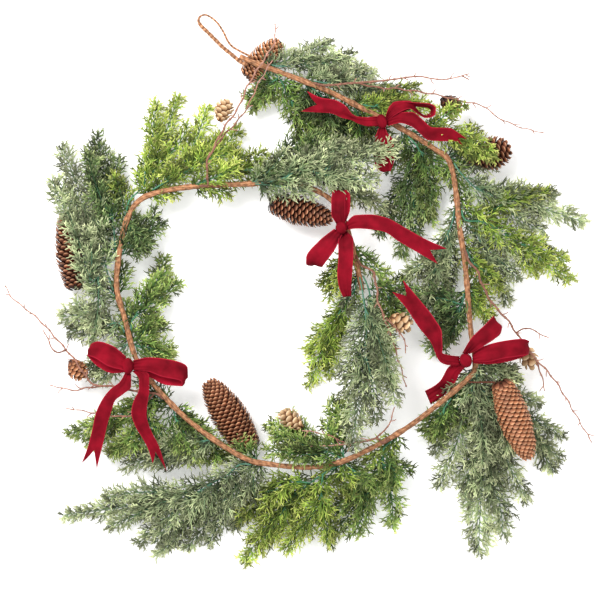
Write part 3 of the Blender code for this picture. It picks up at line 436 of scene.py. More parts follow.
def curl_at(start, heading, side, length, wide, narrow, place):
    """The points and headings of curved branches, each at its own shares of its length.

    point = start + length (t d0 + t^2 / 2 (d1 - d0)), where d0 leaves the parent's heading by
    the wide angle and d1 by the narrow one. Rows are branches and columns are places t.
    """
    a0, a1 = heading + side * wide, heading + side * narrow
    d0 = np.stack([np.cos(a0), np.sin(a0)], -1)[:, None]
    d1 = np.stack([np.cos(a1), np.sin(a1)], -1)[:, None]
    t = place[..., None]
    points = start[:, None] + length[:, None, None] * (t * d0 + t * t / 2 * (d1 - d0))
    away = d0 + t * (d1 - d0)
    return points, np.arctan2(away[..., 1], away[..., 0])


def chosen(branches, rows):
    """Some rows of a bundle of branches: start, heading, side, length, wide and narrow."""
    return [values[rows] for values in branches]


# %% Strands on a frond's line
TABLE_TOP, GARLAND_TOP = 0.0009, 0.0740
FLATNESS = 0.72


def strands(line, flat, heading, height, shape, sides, tip, tone):
    """Tubes from flat points (along, across) on a line and their heights above it.

    point = line at along + across left + height up, pressed flat where it would reach under
    the table or over the garland's top. shape is the half width. tip and tone are the two
    fields that the leaves' colour reads.
    """
    middle, forward, left, up = frames(line, flat[..., 0])
    points = middle + flat[..., 1:2] * left + height[..., None] * up
    points[..., 2] = np.clip(points[..., 2], TABLE_TOP, GARLAND_TOP)
    side = -np.sin(heading)[..., None] * forward + np.cos(heading)[..., None] * left
    wide = np.ones(flat.shape[:2]) * shape
    tone = np.broadcast_to(np.reshape(tone, (-1, 1)), wide.shape)
    return (*tubes(points, side, up, wide, wide * FLATNESS, sides),
            {"tip": np.repeat(np.broadcast_to(tip, wide.shape).ravel(), sides),
             "tone": np.repeat(tone.ravel(), sides)})


# %% Side branches
BRANCH_PITCH, BRANCH_HALF = 0.0115, 0.0007
BRANCH_ANGLES = (0.95, 0.42)
ACROSS = 0.72


def side_branches(line, bare, half_width, shade):
    """Branches by turns along a frond: their tubes, and a row for each that bears leaves.

    reach = (half width (1 - share)^0.55, less at the base) / ACROSS, the part of a curled
    branch that counts across the frond. The last row is the rachis, which bears leaves too.
    """
    length = distances(line)[-1]
    leafy = length * (1 - bare)
    count = max(4, int(2 * leafy / BRANCH_PITCH))
    s = length * bare + leafy * (np.arange(count) + rng.uniform(-0.3, 0.3, count)) / count
    s = np.append(np.clip(s, 0, None), length * bare)
    side = np.append(np.where(np.arange(count) % 2 == 0, 1.0, -1.0), 1.0)
    share = np.clip((s - length * bare) / leafy, 0, 1)
    reach = half_width * (1 - share) ** 0.55 * np.minimum(1, 0.65 + 1.8 * share)
    reach = (reach / ACROSS + 0.005) * rng.uniform(0.6, 1.18, count + 1)
    reach[-1] = leafy
    wide = np.append(BRANCH_ANGLES[0] + rng.normal(0, 0.13, count), 0.0)
    narrow = np.append(BRANCH_ANGLES[1] + rng.normal(0, 0.13, count), 0.0)
    tilt = np.append(rng.normal(0.10, 0.30, count), 0.0)
    # A branch's tone is random, less the frond's painted shade.
    tone = np.clip(rng.uniform(0.1, 1.0, count + 1) - shade, 0, 1)
    start = np.stack([s, np.zeros(count + 1)], -1)
    branches = [start, np.zeros(count + 1), side, reach, wide, narrow]
    t = np.tile(np.linspace(0, 1, 6), (count, 1))
    spots, heading = curl_at(*chosen(branches, slice(-1)), t)
    height = np.abs(spots[..., 1]) * np.tan(tilt[:-1])[:, None]
    tip = 0.10 + 0.2 * share[:-1, None] + 0.4 * t
    part = strands(line, spots, heading, height, BRANCH_HALF * (1 - 0.5 * t), 4, tip, tone[:-1])
    return part, branches, share, tilt, tone


# %% Branchlets
BRANCHLET_PITCH, LONG_BRANCHLET, SHORT_BRANCHLET = 0.0074, 0.0135, 0.0060
BRANCHLET_ANGLES = (0.80, 0.25)
LEAF_HALF = 0.00080


def branchlets(line, branches, share, tilt, tone):
    """Branchlets by turns along every branch: size = short + long (1 - place)^0.6."""
    reach = branches[3]
    each = np.maximum(4, (2 * reach / BRANCHLET_PITCH).astype(int))
    owner = np.repeat(np.arange(len(reach)), each)
    number = np.concatenate([np.arange(k) for k in each])
    place = 0.04 + 0.96 * (number + 0.5 + rng.uniform(-0.35, 0.35, len(owner))) / each[owner]
    place = np.clip(place, 0, 1)
    root, way = curl_at(*chosen(branches, owner), place[:, None])
    root, way = root[:, 0], way[:, 0]
    turn = np.where(number % 2 == 0, 1.0, -1.0)
    size = LONG_BRANCHLET * (1 - place) ** 0.6 + SHORT_BRANCHLET
    size = size * rng.uniform(0.65, 1.2, len(owner))
    size = np.minimum(size, 0.5 * reach[owner] + 0.003)
    wide = BRANCHLET_ANGLES[0] + rng.normal(0, 0.15, len(owner))
    leaves = [root, way, turn, size, wide, np.full(len(owner), BRANCHLET_ANGLES[1])]
    t = np.tile(np.linspace(0, 1, 4), (len(owner), 1))
    spots, heading = curl_at(*leaves, t)
    base = np.abs(root[:, 1]) * np.tan(tilt[owner])
    lean = rng.normal(0.08, 0.45, len(owner))
    height = base[:, None] + size[:, None] * t * lean[:, None]
    tip = 0.10 + 0.15 * share[owner] + 0.40 * place
    tone = np.clip(tone[owner] + rng.normal(0, 0.18, len(owner)), 0, 1)
    shape = np.array([0.95, 1.15, 1.0, 0.45]) * LEAF_HALF
    part = strands(line, spots, heading, height, shape, 4, tip[:, None] + 0.3 * t, tone)
    return part, leaves, base, lean, tip, tone


# %% Forked fingers
FINGER, FINGER_ANGLES = 0.0076, (0.70, 0.32)
FINGER_PLACES = np.array([0.24, 0.50, 0.76])


def fingers(line, leaves, base, lean, tip, tone):
    """Three fingers on every branchlet, by turns; each is at most FINGER long before its draw."""
    size = leaves[3]
    leaf = np.repeat(np.arange(len(size)), len(FINGER_PLACES))
    number = np.tile(np.arange(len(FINGER_PLACES)), len(size))
    place = FINGER_PLACES[number] + rng.uniform(-0.08, 0.08, len(leaf))
    root, way = curl_at(*chosen(leaves, leaf), place[:, None])
    turn = np.where((number + leaf) % 2 == 0, 1.0, -1.0)
    run = np.minimum(FINGER, 0.62 * size[leaf]) * rng.uniform(0.65, 1.2, len(leaf))
    t = np.tile([0.0, 0.55, 1.0], (len(leaf), 1))
    spots, heading = curl_at(root[:, 0], way[:, 0], turn, run, *FINGER_ANGLES, t)
    height = base[leaf] + size[leaf] * place * lean[leaf]
    height = height[:, None] + run[:, None] * t * rng.normal(0.15, 0.5, len(leaf))[:, None]
    shape = np.array([0.8, 1.0, 0.4]) * LEAF_HALF
    return strands(line, spots, heading, height, shape, 3, tip[leaf, None] + 0.25 + 0.25 * t,
                   tone[leaf])


# %% [markdown]
# A frond is one of each order put together. It is a function of its line, the share of it
# that bears no leaves and its half width, so the same rule makes a spray, a fork of it, the
# lesser fronds at its sides and the short ones at its wrap.

# %% A whole frond
RACHIS_HALF = 0.0011


def frond(line, bare, half_width, shade):
    """Rachis, side branches, branchlets and fingers on a line, as tubes.

    Every order carries tip, 0 at its base to 1 at the ends, and shade darkens a whole frond
    that lies under others.
    """
    length = distances(line)[-1]
    where = np.linspace(0, length, max(6, int(length / 0.006)))[None]
    tip = np.clip((where / length - bare) / (1 - bare), 0, 1) * 0.3
    rachis = strands(line, np.stack([where, 0 * where], -1), 0 * where, 0 * where,
                     RACHIS_HALF * (1 - 0.55 * where / length), 5, tip, np.array([0.6]))
    sides, branches, *about = side_branches(line, bare, half_width, shade)
    small, leaves, *about = branchlets(line, branches, *about)
    return joined([rachis, sides, small, fingers(line, leaves, *about)])


# %% Side shoots
def side_shoots(line, bare, half_width, count):
    """Lines of lesser fronds that leave a frond's line by turns and fill out its sides."""
    length = distances(line)[-1]
    found = []
    for k in range(count):
        share = bare + (1 - bare) * (0.02 + 0.5 * (k + rng.uniform(0, 0.8)) / count)
        middle, forward, left, _ = [v[0] for v in frames(line, np.array([share * length]))]
        turn = (1 if k % 2 == 0 else -1) * rng.uniform(0.28, 0.62)
        run = (length * (1 - share)) * rng.uniform(0.50, 0.70) + 0.012
        steps = np.linspace(0, 1, 5)[:, None]
        bend = turn * (1 - 0.45 * steps)
        way = np.cos(bend) * forward + np.sin(bend) * left
        lift = rng.uniform(-0.10, 0.12)
        shoot = middle + steps * run * way + steps * run * lift * UP
        found.append((smooth(shoot), half_width * rng.uniform(0.55, 0.75)))
    return found


# %% Foliage finishes
# Each look: how dark the darkest leaves are, and the ramp from a branch's base to its tips.
LEAF_LOOKS = {
    "sage": (0.18, [(0.0, (0.10, 0.26, 0.17)), (0.22, (0.12, 0.20, 0.09)),
                    (0.6, (0.42, 0.50, 0.25)), (1.0, (0.86, 0.90, 0.52))]),
    "green": (0.18, [(0.0, (0.08, 0.27, 0.15)), (0.22, (0.06, 0.15, 0.03)),
                     (0.6, (0.27, 0.42, 0.09)), (1.0, (0.76, 0.84, 0.28))]),
    "bright": (0.22, [(0.0, (0.08, 0.28, 0.15)), (0.22, (0.09, 0.20, 0.03)),
                      (0.6, (0.40, 0.55, 0.08)), (1.0, (0.88, 0.90, 0.26))]),
    "dark": (0.18, [(0.0, (0.05, 0.18, 0.10)), (0.22, (0.04, 0.10, 0.03)),
                    (0.65, (0.19, 0.29, 0.09)), (1.0, (0.62, 0.70, 0.30))]),
}
LEAF = {look: finish(look + " cedar", stops, "tip", 0.5, 45, 700, 0.3, 0.1, (darkest, 1.2))
        for look, (darkest, stops) in LEAF_LOOKS.items()}
print("foliage finishes:", ", ".join(LEAF))

# %% [markdown]
# ## Where each spray goes
# A spray is its colour and its fronds. A frond is the number of the wrap that it is bound at,
# the side of the stem, its route and its half width in millimetres. A fork gives the joint
# of the first stalk that it leaves from in place of the wrap. Lesser fronds fill out the
# sides of every frond, and short ones spring from under the stem and hide the joint.

# %% Spray routes
SPRAYS = [
    ("sage", [(0, 0, [(300, 64, 26), (335, 63, 14), (366, 67, 5)], 25)]),
    ("green", [(0, 215, [(290, 98, 24), (313, 124, 12), (335, 147, 2)], 25),
               (1, 0, [(262, 90, 26), (250, 108, 12)], 15)]),
    ("dark", [(1, 180, [(333, 112, 24), (365, 132, 12), (398, 148, 3)], 25)]),
    ("sage", [(1, 0, [(342, 84, 26), (375, 92, 16), (408, 102, 7)], 22)]),
    ("bright", [(2, 0, [(388, 103, 26), (425, 105, 14), (459, 117, 5)], 20)]),
    ("dark", [(3, 250, [(413, 168, 22), (406, 212, 11), (404, 258, 2)], 24)]),
    ("green", [(3, 180, [(427, 165, 28), (432, 192, 16), (431, 222, 6)], 20)]),
    ("bright", [(3, 0, [(432, 131, 46), (465, 140, 49), (497, 157, 47)], 17)]),
    ("sage", [(4, 0, [(480, 190, 28), (525, 201, 10), (558, 212, 0.4), (587, 222, 0.4)], 24)]),
    ("sage", [(5, 315, [(480, 238, 26), (500, 270, 14), (508, 306, 3)], 22)]),
    ("bright", [(5, 0, [(485, 222, 28), (527, 248, 14), (573, 281, 1)], 27)]),
    ("sage", [(5, 190, [(443, 250, 26), (444, 302, 14), (447, 350, 5)], 17),
              (2, 0, [(433, 260, 26), (402, 281, 10)], 17)]),
    ("bright", [(6, 0, [(479, 278, 28), (492, 318, 12)], 18)]),
    ("dark", [(7, 180, [(450, 318, 26), (430, 352, 12), (411, 382, 3)], 22),
              (1, 0, [(436, 298, 28), (401, 312, 14)], 16)]),
    ("sage", [(8, 0, [(479, 390, 26), (487, 410, 16), (487, 460, 5), (482, 505, 0.4),
                      (480, 557, 0.4)], 38),
              (1, 0, [(512, 410, 14), (540, 440, 5), (563, 461, 1)], 22)]),
    ("green", [(9, 0, [(437, 424, 24), (410, 466, 3)], 24)]),
    ("green", [(10, 0, [(382, 468, 26), (357, 505, 12), (328, 544, 1)], 24),
               (2, 0, [(394, 470, 22), (387, 510, 5)], 20)]),
    ("bright", [(11, 0, [(302, 490, 24), (268, 525, 10), (243, 566, 1)], 26),
                (1, 0, [(318, 506, 18), (300, 530, 8), (284, 553, 1)], 20),
                (2, 0, [(285, 482, 30), (262, 500, 20), (238, 522, 8)], 17)]),
    ("green", [(11, 180, [(308, 440, 28), (285, 431, 20), (266, 424, 12)], 19)]),
    ("sage", [(12, 315, [(232, 488, 24), (210, 520, 11), (185, 551, 1)], 24)]),
    ("sage", [(12, 0, [(222, 478, 30), (180, 495, 18), (125, 508, 5), (90, 513, 0.4),
                       (60, 517, 0.4)], 24), (2, 0, [(176, 508, 14), (137, 546, 1)], 22)]),
    ("green", [(14, 0, [(130, 414, 22), (95, 427, 9), (57, 438, 1)], 22),
               (2, 0, [(150, 430, 20), (128, 445, 9), (106, 453, 1)], 18)]),
    ("green", [(15, 180, [(149, 305, 26), (157, 280, 14), (164, 256, 4)], 21)]),
    ("sage", [(15, 0, [(106, 324, 26), (82, 316, 12), (58, 317, 1)], 20)]),
    ("sage", [(16, 0, [(100, 245, 34), (80, 195, 24), (60, 145, 4)], 28),
              (2, 0, [(93, 282, 40), (82, 250, 44), (68, 212, 42)], 19)]),
    ("dark", [(17, 0, [(112, 212, 28), (104, 170, 16), (94, 133, 3)], 22)]),
    ("bright", [(18, 0, [(144, 185, 28), (162, 140, 14), (172, 110, 0.4), (176, 94, 0.4)], 24)]),
    ("bright", [(19, 0, [(176, 175, 26), (193, 145, 14), (207, 104, 3)], 19),
                (2, 0, [(190, 170, 30), (217, 152, 20), (240, 128, 8)], 18)]),
    ("bright", [(20, 0, [(232, 172, 34), (262, 168, 28), (293, 172, 22)], 20)]),
    ("dark", [(21, 0, [(286, 166, 28), (312, 152, 16), (338, 138, 5)], 22)]),
    ("sage", [(21, 30, [(292, 170, 40), (325, 177, 40), (360, 192, 30), (389, 212, 18)], 18)]),
    ("bright", [(23, 180, [(343, 306, 26), (325, 345, 12), (309, 388, 1)], 24)]),
    ("green", [(23, 0, [(376, 325, 24), (386, 368, 12), (392, 408, 2)], 20),
               (1, 0, [(382, 290, 30), (402, 318, 18)], 15)]),
    ("sage", [(21, 90, [(300, 174, 54), (348, 166, 58), (398, 146, 54)], 26)]),
    ("sage", [(23, 90, [(366, 330, 50), (360, 390, 44), (352, 447, 46)], 32)]),
]
print("sprays", len(SPRAYS), "fronds", sum(len(fronds) for _, fronds in SPRAYS))

# %% More fronds
# More fronds of the same bunch: the spray, the wrap, the route and the half width in mm.
MORE_FRONDS = [
    (26, 17, [(128, 245, 36), (142, 228, 30), (157, 212, 20)], 15),
    (26, 18, [(134, 236, 36), (141, 243, 30), (150, 246, 22)], 10),
    (23, 15, [(139, 338, 34), (148, 330, 28), (160, 318, 18)], 13),
    (23, 15, [(138, 347, 36), (153, 350, 30), (173, 350, 22)], 12),
    (24, 15, [(118, 352, 36), (102, 365, 30), (88, 374, 20)], 14),
    (22, 14, [(178, 425, 34), (195, 445, 26), (212, 464, 14)], 22),
    (22, 14, [(184, 420, 32), (208, 440, 24), (232, 462, 14)], 12),
    (21, 13, [(196, 442, 34), (170, 452, 24), (125, 466, 8)], 20),
    (19, 11, [(330, 452, 44), (300, 448, 40), (266, 452, 34)], 14),
    (19, 11, [(342, 445, 40), (337, 425, 34), (331, 400, 24)], 12),
    (17, 11, [(352, 470, 32), (360, 482, 24), (374, 494, 12)], 12),
    (15, 8, [(468, 380, 34), (458, 402, 26), (450, 425, 16)], 14),
    (15, 8, [(490, 368, 34), (505, 373, 30), (520, 380, 26)], 10),
    (15, 8, [(470, 400, 30), (455, 450, 16), (441, 488, 4)], 16),
    (15, 8, [(485, 400, 30), (505, 455, 14), (529, 502, 3)], 16),
    (32, 22, [(344, 262, 40), (335, 280, 34), (327, 298, 26)], 10),
]
print("more fronds", len(MORE_FRONDS))

# %% Fronds cut short or trimmed
# Fronds, as (spray, frond), that stop short of their blade in the model, and at what share.
SHORT = {(5, 0): 0.78, (12, 0): 0.80, (14, 0): 0.68, (16, 0): 0.60, (17, 1): 0.62,
         (33, 0): 0.85, (22, 0): 0.92}
# Parts of the width that fronds keep where they lie close together.
TRIM = {(1, 0): 0.70, (4, 0): 0.65, (5, 0): 0.8, (10, 0): 0.55, (13, 0): 0.6, (7, 0): 0.8,
        (12, 0): 0.8, (12, 1): 0.6, (15, 1): 0.65, (17, 1): 0.6, (16, 0): 0.7, (20, 0): 0.8,
        (21, 0): 0.8, (21, 1): 0.8, (25, 0): 0.85, (25, 1): 0.9, (27, 0): 0.75, (28, 0): 0.8,
        (32, 0): 0.75, (22, 0): 0.85, (11, 0): 0.85, (19, 0): 0.8}
print("short", len(SHORT), "trimmed", len(TRIM))

# %% Collars
# Short fronds that spring from under the stem at a wrap: the spray, the wrap, the turn from
# the stem's way (outwards is positive), the length and half width, and the rise, in mm.
COLLARS = [
    (1, 0, 30, 45, 13, -8), (2, 0, -40, 40, 13, -12), (3, 1, -25, 60, 16, -14),
    (3, 1, -50, 45, 14, -20), (5, 2, 18, 55, 12, -8), (4, 1, 20, 60, 13, -10),
    (2, 2, -45, 55, 16, -18), (6, 3, -70, 50, 15, -20), (7, 3, -30, 60, 15, -14),
    (7, 4, -22, 60, 14, -12), (9, 4, 28, 60, 16, -14), (11, 4, 75, 50, 13, -14),
    (10, 5, -14, 50, 10, -10), (11, 5, 40, 55, 14, -12), (13, 6, 24, 45, 10, -10),
    (14, 7, -24, 60, 14, -12), (13, 7, 22, 50, 10, -10), (15, 8, 60, 50, 14, -14),
    (16, 9, 55, 50, 13, -14), (17, 10, 35, 60, 14, -14), (18, 10, 12, 55, 12, -10),
    (18, 11, 30, 65, 15, -14), (18, 11, 70, 45, 13, -16), (20, 12, 75, 45, 14, -16),
    (20, 12, 25, 55, 15, -12), (19, 12, -30, 40, 10, -6), (21, 13, 45, 50, 14, -14),
    (22, 14, 40, 55, 15, -14), (22, 14, 10, 50, 12, -12), (24, 15, 35, 50, 13, -14),
    (23, 15, -6, 50, 10, -12), (24, 16, 40, 55, 14, -10), (23, 16, -18, 45, 10, -12),
    (26, 17, 30, 60, 15, -8), (27, 18, 30, 60, 14, -10), (28, 19, 12, 60, 13, -8),
    (28, 19, -14, 40, 9, -8), (29, 20, 14, 65, 13, 2), (29, 20, -12, 50, 9, -4),
    (30, 21, 10, 70, 14, 8), (34, 21, -10, 75, 13, 12), (31, 21, 35, 60, 14, 4),
    (33, 22, 30, 55, 10, -8), (35, 23, -25, 50, 12, -8),
]
print("collars", len(COLLARS))

# %% [markdown]
# ## From routes to sprays
# A route is made a smooth curve from its wrap, and settled on the blade of the model. Then
# the fronds of one spray are grown on their lines and joined into one piece.

# %% The lines of a spray
# A stalk is STALK_SHARE of the first frond, with joints at these shares of it.
STALK_JOINTS, STALK_SHARE = (0.0, 0.4, 0.85), 0.26


def spray_lines(name, fronds):
    """The settled line of each frond of one spray, the first from its wrap on the stem."""
    tree = tree_of(name)
    lines = []
    for root, side, route, _ in fronds:
        if not lines:
            start, forward, out = seat(WRAPS[root], side, WRAP_LENGTH / 2 + 0.001)
            line = smooth(np.vstack([start, start + forward * 0.012 + out * 0.003, plan(route)]))
        else:
            joint = STALK_SHARE * STALK_JOINTS[root] * distances(lines[0])[-1]
            line = smooth(np.vstack([at(lines[0], np.array([joint]))[0], plan(route)]))
        lines.append(settle(line, tree))
    return lines


def collar(root, turn, run, rise):
    """A short line from inside the stem at a wrap that turns away from the stem's way."""
    middle, forward, left, _ = [v[0] for v in frames(STEM, np.array([station(*WRAPS[root])]))]
    t = np.linspace(0, 1, 5)[:, None]
    bend = turn * (0.7 + 0.5 * t)
    way = np.cos(bend) * forward + np.sin(bend) * left
    sunk = np.array([0, 0, -0.6 * STEM_RADIUS * np.sign(-rise)])
    return smooth(middle + sunk + t * run * way + t * rise * UP)


# %% Make the sprays
# The side branches fill FAN_SHARE of the half width, and a frond that is wider than
# FULL_WIDTH millimetres has three side shoots, not two.
FAN_SHARE = 0.72
FULL_WIDTH = 21
# The share of each kind of frond that bears no leaves.
FIRST_BARE, FORK_BARE, MORE_BARE, COLLAR_BARE = 0.13, 0.05, 0.04, 0.03


def with_shoots(line, bare, half, count, shade, shoot_shade):
    """A frond and its side shoots, which have leaves all the way and are darker with painted shade.
    """
    fronds = [frond(line, bare, half, shade)]
    for shoot, width in side_shoots(line, bare, half, count):
        fronds.append(frond(shoot, 0.0, width, shoot_shade))
    return fronds


total = 0
for number, (look, fronds) in enumerate(SPRAYS, 1):
    node_name = f"cedar_spray_{number:02d}"
    parts = []
    for index, (line, row) in enumerate(zip(spray_lines(node_name, fronds), fronds)):
        line = line[:int(len(line) * SHORT.get((number, index), 1.0))]
        half = row[3] * MM * FAN_SHARE * TRIM.get((number, index), 1.0)
        parts += with_shoots(line, FORK_BARE if index else FIRST_BARE, half,
                             3 if row[3] > FULL_WIDTH else 2, 0.0, 0.15)
    for owner, root, route, half in MORE_FRONDS:
        if owner == number:
            start = at(STEM, np.array([station(*WRAPS[root])]))[0]
            start = start - np.array([0, 0, STEM_RADIUS * 0.6])
            line = smooth(np.vstack([start, plan(route)]))
            parts += with_shoots(line, MORE_BARE, half * MM, 2, 0.1, 0.2)
    for owner, root, turn, run, half, rise in COLLARS:
        if owner == number:
            parts.append(frond(collar(root, np.radians(turn), run * MM, rise * MM),
                               COLLAR_BARE, half * MM * 0.9, 0.25))
    made = joined(parts)
    total += 2 * len(made[1]) + len(made[2])
    piece(f"spray_{number:02d}", made, LEAF[look], [node_name])
print("triangles in all sprays:", total)

# %% [markdown]
# ## Cones
# A cone is a woody core with thick scales set in a spiral, each turned by the golden angle
# from the one before. A scale leaves the core, widens like a fan and ends in a rounded lip.
# The colour paints a highlight on the lip and shade at the root and on the core, which stay dark.
# One rule with other numbers makes the closed tan and copper cones, the open brown ones and the
# little pods.

# %% Cone scales
GOLDEN = np.pi * (3 - np.sqrt(5))
SCALE_SIDES = 8
CORE_SHARE = 0.30


def scale_field(base, apex, radius, count, width, thick, power, tall, belly):
    """All scales of a cone as tubes of flat oval rings that follow the way out to the lip.

    ring(q) = axis point + reach out (core + (1 - core) q^power) + axis rise q^1.6. The fan's
    width and thickness are read off two rows of values at q. The reach along the cone is an
    ellipse that is widest at belly.
    """
    length = np.linalg.norm(apex - base)
    axis = (apex - base) / length
    across = np.cross(axis, UP)
    across /= np.linalg.norm(across)
    over = np.cross(across, axis)
    k = np.arange(count)
    share = (k + 0.5) / count
    angle = k * GOLDEN
    reach = radius * np.sqrt(np.maximum(0.07, 1 - ((share - belly) / (1.03 - belly)) ** 2))
    reach = reach * np.where(share < belly, 0.80 + 0.20 * share / belly, 1.0)
    reach = reach * rng.uniform(0.95, 1.04, count)
    q = np.array([0.0, 0.35, 0.65, 0.85, 0.96, 1.0])
    out = np.cos(angle)[:, None] * across + np.sin(angle)[:, None] * over
    away = CORE_SHARE + (1 - CORE_SHARE) * q[None] ** power
    rise = tall * length * (q[None] ** 1.6) * (0.65 + 0.7 * share[:, None])
    along = share[:, None] * length * 0.93 + rise - 0.35 * tall * length
    middle = base + along[..., None] * axis + (reach[:, None] * away)[..., None] * out[:, None]
    tangent = np.gradient(middle, axis=1)
    tangent /= np.linalg.norm(tangent, axis=-1)[..., None]
    left = np.cross(axis, out)[:, None] * np.ones((1, len(q), 1))
    up = np.cross(tangent, left)
    up /= np.linalg.norm(up, axis=-1)[..., None]
    fan = np.array([0.35, 0.7, 1.0, 0.95, 0.62, 0.25])
    wide = width * (reach / radius)[:, None] ** 0.7 * fan[None]
    high = thick * np.array([1.0, 0.9, 0.8, 0.8, 0.7, 0.3])[None] * np.ones((count, 1))
    tone = rng.uniform(0.2, 1.0, count)
    return (*tubes(middle, left, up, wide, high, SCALE_SIDES),
            {"lip": np.repeat(np.tile(q, count), SCALE_SIDES),
             "tone": np.repeat(tone, SCALE_SIDES * len(q))})


# %% Core and neck
CORE_WIDTH = 0.62
NECK_RADIUS = 0.0011


def core_of(base, apex, radius, belly):
    """The woody core, a spindle under the scales, painted dark as shade in the gaps."""
    length = np.linalg.norm(apex - base)

    def size(where, angle):
        share = where / length
        oval = np.sqrt(np.maximum(0.02, 1 - ((share - belly) / (1.02 - belly)) ** 2))
        return radius * CORE_WIDTH * np.minimum(oval, 0.3 + 4 * share)

    made, _ = tube_along(np.array([base, apex]), size, 12, length / 10)
    # lip 0 is the darkest stop of the ramp and tone 0.3 darkens it more: painted shade on the core.
    return even_fields(made, lip=0.0, tone=0.3)


def neck_of(points):
    """The bare wire that carries a cone."""
    made, _ = tube_along(smooth(points), lambda where, angle: NECK_RADIUS, 8)
    return even_fields(made, lip=0.45, tone=0.7)


# %% Cone finishes
# Each look: its roughness, how much its grain varies, the range of its tones and its ramp
# from painted shade at the root of a scale to a painted highlight on the lip.
WOOD_LOOKS = {
    "tan cone": (0.62, 0.3, (0.65, 1.15), [
        (0.0, (0.05, 0.016, 0.008)), (0.65, (0.20, 0.065, 0.026)),
        (0.90, (0.48, 0.20, 0.085)), (1.0, (0.80, 0.48, 0.28))]),
    "copper cone": (0.55, 0.3, (0.65, 1.15), [
        (0.0, (0.03, 0.009, 0.005)), (0.65, (0.15, 0.045, 0.020)),
        (0.90, (0.42, 0.16, 0.07)), (1.0, (0.74, 0.40, 0.22))]),
    "brown cone": (0.5, 0.35, (0.55, 1.2), [
        (0.0, (0.008, 0.003, 0.002)), (0.7, (0.045, 0.012, 0.006)),
        (0.91, (0.22, 0.07, 0.03)), (1.0, (0.62, 0.32, 0.17))]),
    "pale pod": (0.6, 0.3, (0.7, 1.1), [
        (0.0, (0.20, 0.08, 0.03)), (0.5, (0.45, 0.24, 0.11)),
        (0.85, (0.68, 0.45, 0.25)), (1.0, (0.83, 0.64, 0.40))]),
}
WOOD = {look.split()[0]: finish(look, stops, "lip", rough, 160, 1200, vary, 0.4, tones)
        for look, (rough, vary, tones, stops) in WOOD_LOOKS.items()}
print("cone finishes:", ", ".join(WOOD))

# %% Large cones
# Number, look, the neck's root and side on the stem, base, apex, radius, scales, width, belly.
CONES = [
    (1, "tan", (255, 64), 270, (247, 76, 19), (280, 40, 18), 0.0180, 210, 0.0036, 0.36),
    (2, "brown", (452, 171), 0, (464, 163, 27), (510, 147, 22), 0.0210, 130, 0.0056, 0.60),
    (3, "copper", (466, 379), 30, (501, 382, 44), (529, 458, 27), 0.0200, 330, 0.0045, 0.36),
    (4, "brown", (250, 460), 270, (250, 449, 23), (208, 382, 23), 0.0225, 360, 0.0048, 0.36),
    (5, "brown", (117, 289), 290, (74, 288, 22), (64, 215, 21), 0.0180, 210, 0.0046, 0.36),
    (6, "brown", (265, 185), 215, (271, 203, 32), (332, 219, 31), 0.0185, 190, 0.0046, 0.36),
]
for number, look, root, side, base, apex, size, count, width, belly in CONES:
    base, apex = plan([base, apex])
    start, _, _ = seat(root, side, 0.0)
    made = joined([scale_field(base, apex, size, count, width, 0.00065, 0.8, 0.10, belly),
                   core_of(base, apex, size, belly), neck_of(np.array([start, base]))])
    piece(f"cone_{number}_scales", made, WOOD[look], [f"pine_cone_{number}"])
    print("cone", number, "scales", count, "triangles", 2 * len(made[1]) + len(made[2]))

# %% Small cones and pods
SMALL_CONES = [
    (1, "brown", (442, 99, 42), (458, 110, 36), 0.0125, 42, 0.0048),
    (2, "tan", (71, 361, 34), (82, 377, 30), 0.0125, 50, 0.0044),
    (3, "pale", (220, 121, 46), (227, 102, 43), 0.0120, 34, 0.0048),
    (4, "pale", (301, 427, 38), (282, 413, 36), 0.0120, 34, 0.0050),
    (5, "pale", (391, 317, 46), (409, 327, 40), 0.0130, 26, 0.0062),
    (6, "pale", (520, 345, 32), (534, 366, 25), 0.0120, 26, 0.0056),
]
for number, look, base, apex, size, count, width in SMALL_CONES:
    base, apex = plan([base, apex])
    made = joined([scale_field(base, apex, size, count, width, 0.0010, 0.75, 0.22, 0.5),
                   core_of(base, apex, size, 0.5)])
    name = f"small_cone_{number}"
    piece(name + "_scales", made, WOOD[look], [name])
print("small cones:", len(SMALL_CONES))

# %% [markdown]
# ## Twigs
# The picks are bare twigs: thin, a little crooked, with a swelling at each node and a short
# spur here and there. The radius is a taper with a bump every centimetre or so. A twig is
# its wrap, its side and its strands: the share of the first at which each forks, and a route.

